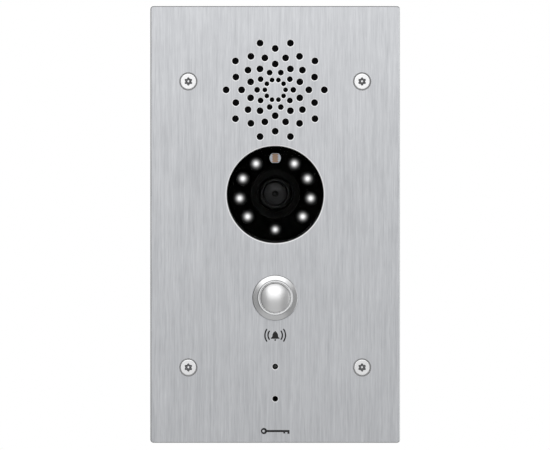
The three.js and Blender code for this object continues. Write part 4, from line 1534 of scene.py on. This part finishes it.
@dataclass
class RearHousing:
    """The moulded tub behind the plate, with its screw columns and the open bay for the connectors."""

    corner: float = 5.0
    wall: float = 2.2
    bay_half: float = 22.0
    bay_top: float = -46.0
    bay_wall: float = 2.0
    bay_floor: float = -22.2
    column: float = 5.0
    well: float = 3.1
    hole: float = 1.7
    well_end: float = -11.5
    column_end: float = -8.2
    plunger_hole: float = 2.8

    @staticmethod
    def notched(width: float, height: float, corner: float, half: float, top: float, inner: float) -> Line:
        """Draws an outline with a notch for the bay in its lower edge.

        Args:
            width: the outline's width.
            height: its height.
            corner: the radius of its corners.
            half: half of the notch's width.
            top: the upper end of the notch.
            inner: the radius of the notch's corners.

        Returns:
            The outline, turning left.
        """
        x, y = width / 2, height / 2
        points = [(half, -y), (x, -y), (x, y), (-x, y), (-x, -y), (-half, -y), (-half, top), (half, top)]
        return soften(points, [0.5, corner, corner, corner, corner, 0.5, inner, inner], steps=6)

    def build(self) -> None:
        """The tub in three storeys, so that the bay stays open: a whole ring in front, walls that go round the
        bay in the middle, and the back. Its columns are turned and stand in the corners."""
        spot = Spot.of("rear_housing")
        width, height, front, back = spot.width, spot.height, spot.front, spot.back
        inner = (width - 2 * self.wall, height - 2 * self.wall, self.corner - self.wall)
        shell = Shell()
        ring = edge_rows(front, self.bay_floor, 0.25, SEAM, 3)
        shell.prism(rounded_box(width, height, self.corner), ring, [(rounded_box(*inner), ring)])
        shelf = back + self.wall
        middle = edge_rows(self.bay_floor, shelf, SEAM, SEAM, 1)
        outline = self.notched(width, height, self.corner, self.bay_half, self.bay_top, 1.0)
        hollow = self.notched(*inner, self.bay_half + self.bay_wall, self.bay_top + self.bay_wall, 1.6)
        shell.prism(outline, middle, [(hollow, middle)])
        base = edge_rows(shelf, back, SEAM, 0.6, 5)
        edge = edge_rows(shelf, back, SEAM, 0.3, 3)
        tamper, screw = Spot.of("tamper_plunger"), Spot.of("housing_screw_2")
        posts = corners_of(screw.across, screw.up)
        wells = [(circle(self.well, 48, x, y), edge) for x, y in posts]
        wells.append((circle(self.plunger_hole, 48, tamper.across, tamper.up), edge))
        shell.prism(outline, base, wells)
        tube = [(self.well, shelf), (self.column, shelf), (self.column, self.column_end),
                (self.hole, self.column_end), (self.hole, self.well_end), (self.well, self.well_end)]
        for x, y in posts:
            shell.lathe(soften(tube, 0.15), 48, looped=True, across=x, up=y)
        self.add_frame(shell, back)
        self.add_ribs(shell, back)
        shell.finish("rear_housing_moulded", [HOUSING], stands_for=["rear_housing"])

    @staticmethod
    def add_frame(shell: Shell, back: float) -> None:
        """Adds a raised frame round an empty field, where an installer would stick a label.

        Args:
            shell: the housing.
            back: the depth of its back.
        """
        rows = edge_rows(back + 0.1, back - 0.4, SEAM, 0.2, 3)
        width, height, band, up = 46.0, 24.0, 1.2, 60.0
        field = rounded_box(width - 2 * band, height - 2 * band, 1, 0, up)
        shell.prism(rounded_box(width, height, 2, 0, up), rows, [(field, rows)])

    @staticmethod
    def add_ribs(shell: Shell, back: float) -> None:
        """Adds low ribs across the back that stiffen it, and a turned gate mark above them.

        Args:
            shell: the housing.
            back: the depth of its back.
        """
        rows = edge_rows(back + 0.1, back - 0.45, SEAM, 0.3, 3)
        for up in (8.0, -4.0, -16.0, -28.0):
            shell.prism(rounded_box(52, 1.6, 0.75, 0, up), rows)
        shell.lathe([(0, back + 0.1), (3.2, back + 0.1), (3.2, back - 0.2), (3.0, back - 0.35), (2.4, back - 0.35),
                     (2.2, back - 0.12), (0, back - 0.12)], 40, across=0, up=34)


def build_housing_seal() -> None:
    """The rubber ring between the housing's rim and the plate, with a rounded lip."""
    spot = Spot.of("housing_seal")
    rows = edge_rows(spot.front, spot.back, 0.25, 0.25, 4)
    hole = rounded_box(spot.width - 4.4, spot.height - 4.4, 2.8)
    shell = Shell()
    shell.prism(rounded_box(spot.width, spot.height, 5), rows, [(hole, rows)])
    shell.finish("housing_seal_ring", [RUBBER], stands_for=["housing_seal"])


# ---------------------------------------------------------------- main board and connectors


@dataclass
class MainBoard:
    """The main board, with the sockets, terminals and small parts that show in the connector bay."""

    shelf: float = -80.7
    narrow: float = 22.9
    contacts: int = 8
    ways: int = 6
    way_pitch: float = 3.5
    first_way: float = 1.25
    mouth: float = 2.5
    mouth_depth: float = -26.25
    terminal_step: float = -31.0
    well: float = 1.4

    def build(self) -> None:
        """Builds the board and what stands on its back."""
        self.build_board()
        self.build_socket()
        self.build_terminals()

    def build_board(self) -> None:
        """The board: a stepped outline, with chips, capacitors and their solder on its back."""
        spot = Spot.of("main_board")
        x, high, low = spot.width / 2, spot.up + spot.height / 2, spot.up - spot.height / 2
        points = [(-self.narrow, low), (self.narrow, low), (self.narrow, self.shelf), (x, self.shelf), (x, high),
                  (-x, high), (-x, self.shelf), (-self.narrow, self.shelf)]
        shell = Shell()
        shell.prism(soften(points, 0.5), edge_rows(spot.front, spot.back, 0.1, 0.1, 2))
        back = spot.back
        small = [(-17, -74), (-14.5, -74), (-12, -74), (-17, -79), (-14.5, -79), (-6, -86), (-3.5, -86), (-1, -86),
                 (17, -72), (17, -75), (17, -78), (3, -72), (5.5, -72), (-18.5, -86)]
        for x0, y0 in small:
            self.add_chip(shell, x0, y0, back)
        for x0, y0, width, height, deep in [(-9, -81, 6, 5, 1.2), (1.5, -80, 5, 5, 1.0), (17, -85, 5, 4, 1.6)]:
            shell.block((x0, y0), (width, height), back, back - deep, tint=1)
            leg = np.linspace(-height / 2 + 0.6, height / 2 - 0.6, 5)
            for y1 in leg.tolist():
                for side in (-1, 1):
                    end = x0 + side * (width / 2 + 0.35)
                    shell.block((end, y0 + y1), (0.9, 0.36), back, back - 0.25, 0.05, 2)
        shell.finish("main_board_made", [BOARD_GREEN, MOULDING, TINNED, CERAMIC], stands_for=["main_board"])

    @staticmethod
    def add_chip(shell: Shell, x: float, y: float, back: float) -> None:
        """Adds a small ceramic part between two blobs of solder.

        Args:
            shell: the board.
            x: across of its middle.
            y: up of its middle.
            back: the depth of the board's back.
        """
        shell.block((x, y), (1.2, 1.4), back, back - 0.7, 0.1, 3)
        for side in (-1, 1):
            shell.block((x, y + side * 0.9), (1.3, 0.5), back, back - 0.5, tint=2)

    def build_socket(self) -> None:
        """The network socket: a folded shield round a black insert, with eight gilt contacts over its mouth.
        Its own third axis points down, towards the plug."""
        spot = Spot.of("network_socket")
        low, high = spot.up - spot.height / 2, spot.up + spot.height / 2
        x0, x1 = -spot.width / 2, spot.width / 2
        b0, b1 = spot.back, spot.front
        mid = (b0 + b1) / 2
        outline = rounded_box(x1 - x0, b1 - b0, 0.5, 0, mid, 4)
        mouth = [(-5.9, -32.0), (5.9, -32.0), (5.9, -25.0), (3.1, -25.0), (3.1, -23.2), (-3.1, -23.2),
                 (-3.1, -25.0), (-5.9, -25.0)]
        hole = soften(mouth, 0.15, steps=2)
        face, floor = -low, -low - 14.0
        shell = Shell()
        front = edge_rows(face, floor, 0.25, SEAM, 3)
        wall = edge_rows(face, floor, 0.12, SEAM, 2)
        shield = soften([(-6.6, -32.7), (6.6, -32.7), (6.6, -22.5), (-6.6, -22.5)], 0.3)
        shell.prism(outline, front, [(shield, wall)])
        shell.prism(outline, edge_rows(floor, -high, SEAM, 0.3, 3))
        inner = edge_rows(face - 0.35, floor, 0.1, SEAM, 2)
        shell.prism(inset(shield, 0.02), inner, [(hole, inner)], tint=1)
        for number in range(self.contacts):
            x = (number - (self.contacts - 1) / 2) * 1.02
            path = [(x, y, floor + z) for y, z in ((-24.1, 0.4), (-24.6, 3.0), (-26.0, 7.0), (-27.3, 9.6),
                                                   (-27.0, 10.4))]
            shell.tube(through(path, 26), 0.22, 8, axis=(1, 0, 0), tint=2)
        for side in (-1, 1):
            shell.block((side * 7.98, mid), (0.28, 4.4), face - 3.0, face - 9.0, 0.1)
            shell.block((side * 3.6, b0 - 0.02), (2.2, 0.24), face - 2.5, face - 8.5, 0.1)
            shell.block((side * 3.6, b0 + 0.025), (3.0, 0.15), face - 2.2, face - 9.0, 0.05, 1)
        shell.stand_in("network_socket", "shielded", [SHIELD, MOULDING, GOLD], at=(spot.across, 0, 0),
                       facing=Facing.DOWN)

    def build_terminals(self) -> None:
        """The terminal block: a row of wire mouths with steel cages, and slotted screws in wells behind."""
        spot = Spot.of("terminal_block")
        low, high = spot.up - spot.height / 2, spot.up + spot.height / 2
        middle, step, top, back = spot.across, self.terminal_step, spot.front, spot.back
        ways = [self.first_way + way * self.way_pitch for way in range(self.ways)]
        shell = Shell()
        rows = edge_rows(-low, -low - 4.0, 0.15, SEAM, 2)
        mouths = [(rounded_box(self.mouth, self.mouth, 0.3, x, self.mouth_depth, 3), rows) for x in ways]
        bar = rounded_box(spot.width, top - step, 0.3, middle, (top + step) / 2, 3)
        front = Shell()
        front.prism(bar, rows, mouths)
        for x in ways:
            cage = edge_rows(-low - 1.2, -low - 3.9, 0.08, 0.01, 2)
            outside, hole = (rounded_box(self.mouth - less, self.mouth - less, corner, x, self.mouth_depth, 3)
                             for less, corner in ((0.1, 0.25), (0.6, 0.2)))
            front.prism(outside, cage, [(hole, cage)], tint=1)
        front.finish("terminal_mouths", [TERMINAL, TINNED], facing=Facing.DOWN, slot="terminal_green")
        shell.block((middle, (low + 3.998 + high) / 2), (spot.width, high - low - 3.998), top, step, 0.2)
        ridge = rounded_box(spot.width, high - low - 4, 0.3, -middle, (low + 4 + high) / 2, 3)
        into = Shell()
        deep = edge_rows(-back, -step, 0.2, SEAM, 3)
        into.prism(ridge, deep, [(circle(self.well, 28, -x, high - 4), deep) for x in ways])
        for x in ways:
            self.add_slotted_screw(into, -x, high - 4, -step + 0.3)
        into.finish("terminal_ridge", [TERMINAL, TINNED, SOCKET_SHADE], facing=Facing.INTO, slot="terminal_green")
        shell.finish("terminal_bar", [TERMINAL], stands_for=["terminal_block"])

    @staticmethod
    def add_slotted_screw(shell: Shell, x: float, y: float, floor: float) -> None:
        """Adds a slotted screw: two halves of a disc with softened edges on either side of a sunk slot.

        Args:
            shell: the terminals' ridge.
            x: across of its middle.
            y: up of its middle.
            floor: the depth of its well's floor.
        """
        turn = np.linspace(0.25, math.pi - 0.25, 16)
        half = np.stack([np.cos(turn), np.sin(turn)], -1) * 1.2
        # the disc under the slot takes the darker socket tone: painted shade at the slot's floor
        shell.prism(circle(1.25, 28, x, y), edge_rows(floor + 0.5, floor - 0.4, 0.02, 0.02, 1), tint=2)
        for side in (1, -1):
            shell.prism(half * side + [x, y], edge_rows(floor + 1.0, floor + 0.4, 0.15, SEAM, 2), tint=1)


# ---------------------------------------------------------------- tamper contact and reset button


@dataclass
class ServiceControls:
    """The plunger that feels the wall box with its switch and spring, and the reset button with its switch."""

    def build(self) -> None:
        """Builds both switches and what presses them."""
        nose = [(0, -42), (1.6, -42), (2.5, -41.2), (2.5, -34.5), (4.2, -34.5), (4.2, -33.3), (1.6, -33.3),
                (1.6, -25.6), (0, -25.6)]
        rounds = [0.1, 0.5, 0.5, 0.15, 0.2, 0.2, 0.1, 0.2, 0.1]
        TurnedPiece("tamper_plunger", nose, PLUNGER, rounds, 64, "tamper_plunger").build("tamper_plunger_moulded")
        WireSpring("tamper_spring", 2.9, 0.3, "tamper_plunger_press", from_front=False).build()
        self.build_switch("tamper_switch", 2.2, -22.3)
        self.build_switch("reset_switch", 2.0, -22.8)
        low, high = Spot.of("reset_button").back, Spot.of("reset_button").front
        cap = [(0, low), (1.7, low), (1.7, high), (0, high)]
        TurnedPiece("reset_button", cap, PLUNGER, 0.35, 48, "reset_button").build("reset_button_cap")

    @staticmethod
    def build_switch(node: str, bore: float, floor: float) -> None:
        """Builds a switch body: a steel cover over a moulding, bored for its plunger.

        Args:
            node: the switch's solid.
            bore: the bore's radius.
            floor: the depth of the bore's floor.
        """
        spot = Spot.of(node)
        shell = Shell()
        back, front = -spot.back, -spot.front
        size = spot.width
        deep = edge_rows(back - 0.3, -floor, 0.15, SEAM, 2)
        outline = rounded_box(size, size, 0.5, steps=4)
        shell.prism(outline, deep, [(circle(bore, 48), deep)])
        shell.prism(outline, edge_rows(-floor, front, SEAM, 0.1, 2))
        cover = edge_rows(back, back - 0.32, 0.08, SEAM, 2)
        lid = rounded_box(size - 0.1, size - 0.1, 0.5, steps=4)
        shell.prism(lid, cover, [(circle(bore + 0.25, 48), cover)], tint=1)
        shell.stand_in(node, "bodied", [MOULDING, TINNED], facing=Facing.INTO)


# ---------------------------------------------------------------- studio


@dataclass
class Studio:
    """Plain soft studio light, a pale floor below, and the camera square on to the panel."""

    distance: float = 1.48
    lens: float = 201.0
    aim: tuple[float, float] = (-0.0001, -0.00026)
    floor: float = -1.45
    floor_radius: float = 16.0
    softbox: float = 0.45
    softbox_size: tuple[float, float] = (0.9, 0.35)
    softbox_place: tuple[float, float, float] = (0.0, -0.72, 0.30)
    sensor_width: float = 36.0
    screen_left: tuple[float, float] = (-0.47, -0.39)
    screen_right: tuple[float, float] = (0.28, 0.36)
    horizon: tuple[float, float] = (-0.16, 0.02)
    screen_top: tuple[float, float] = (0.5, 0.95)

    def build(self) -> None:
        """Builds the floor, the light and the camera."""
        self.build_floor()
        self.build_sky()
        self.build_softbox()
        self.build_camera()
        bpy.context.scene.view_settings.view_transform = "Standard"

    def build_floor(self) -> None:
        """A pale round floor with a turned-down edge. It doesn't show in the panel's own gloss."""
        turn = full_turn(96)
        rings = [(0.0, 0.0), (0.6, 0.0), (0.97, 0.0), (0.995, -0.02), (1.0, -0.05), (0.0, -0.05)]
        rows = [np.stack([r * self.floor_radius * np.cos(turn), r * self.floor_radius * np.sin(turn),
                          np.full(96, self.floor + z)], -1) for r, z in rings]
        shell = Shell()
        shell.grid(np.stack(rows))
        mesh = bpy.data.meshes.new("studio_floor")
        mesh.from_pydata(np.vstack(shell.points).tolist(), [], shell.faces)
        clean(mesh, 0.001, 0.0001)
        pale = Finish("studio_pale", (0.90, 0.90, 0.895), grey(0.94), Grain.MOTTLED, 40.0, (0.7, 0.8),
                      relief=0.0, clouds=0.0)
        mesh.materials.append(pale.material())
        floor = bpy.data.objects.new("studio_floor", mesh)
        bpy.context.scene.collection.objects.link(floor)
        floor.visible_glossy = False

    def build_sky(self) -> None:
        """The light all round, worked out from its direction: a broad bright screen in front from the horizon
        up, a dimmer one below it, darker flanks, and an even fill behind."""
        world = bpy.data.worlds.new("studio_light")
        bpy.context.scene.world = world
        world.use_nodes = True
        world.node_tree.nodes.clear()
        tree = Tree(world.node_tree)
        across, depth, up = tree.add("SeparateXYZ", {0: tree.add("TexCoord").outputs["Generated"]}).outputs
        horizon = tree.spread(up, *self.horizon, 0.515, 1.06, smooth=True)
        high = tree.spread(up, *self.screen_top, 1.0, 0.3, smooth=True)
        screen = tree.math("MULTIPLY", horizon, high)
        left = tree.spread(across, *self.screen_left, smooth=True)
        right = tree.spread(across, *self.screen_right, 1.0, 0.0, smooth=True)
        width = tree.math("MULTIPLY", left, right)
        front = tree.math("MULTIPLY", width, tree.spread(depth, -0.1, 0.1, 1.0, 0.0, smooth=True))
        fill = tree.spread(depth, -0.3, 0.5, 0.33, 0.5, smooth=True)
        side = tree.spread(across, 0.72, 0.95, 0.0, 0.75, smooth=True)
        fill = tree.math("ADD", fill, side)
        fill = tree.math("SUBTRACT", fill, tree.spread(across, -0.9, -0.72, 0.22, 0.0, smooth=True))
        level = tree.add("Mix", {0: front, 2: fill, 3: screen}).outputs[0]
        seen = tree.add("LightPath").outputs["Is Camera Ray"]
        level = tree.add("Mix", {0: seen, 2: level, 3: 1.0}).outputs[0]
        light = tree.add("Background", {"Color": (1.0, 1.0, 1.0, 1.0), "Strength": level})
        tree.add("OutputWorld", {0: light.outputs[0]})

    def build_softbox(self) -> None:
        """A softbox above the front that lights the plate's upper half a little more. It doesn't show itself."""
        data = bpy.data.lights.new("softbox", "AREA")
        data.shape = "RECTANGLE"
        data.size, data.size_y = self.softbox_size
        data.energy = self.softbox
        box = bpy.data.objects.new("softbox", data)
        place = np.array(self.softbox_place)
        box.location = place
        aim = -place / np.linalg.norm(place)
        box.rotation_euler = Vector(aim).to_track_quat("-Z", "Y").to_euler()
        box.visible_camera = False
        bpy.context.scene.collection.objects.link(box)

    def build_camera(self) -> None:
        """The camera, level and square on."""
        data = bpy.data.cameras.new("camera")
        data.lens, data.sensor_width = self.lens, self.sensor_width
        data.clip_start, data.clip_end = 0.05, 100.0
        camera = bpy.data.objects.new("camera", data)
        camera.location = (self.aim[0], -self.distance, self.aim[1])
        camera.rotation_euler = (math.pi / 2, 0.0, 0.0)
        bpy.context.scene.collection.objects.link(camera)
        bpy.context.scene.camera = camera


# ---------------------------------------------------------------- the whole panel


def main() -> None:
    """Builds each sub-assembly in turn, from the plate inwards."""
    logging.basicConfig(level=logging.INFO, format="%(message)s")
    assemblies = (Studio(), Faceplate(), Loudspeaker(), Camera(), CallButton(), InnerParts(), RearHousing(),
                  MainBoard(), ServiceControls())
    for assembly in assemblies:
        assembly.build()
    build_housing_seal()


if __name__ == "__main__":
    main()
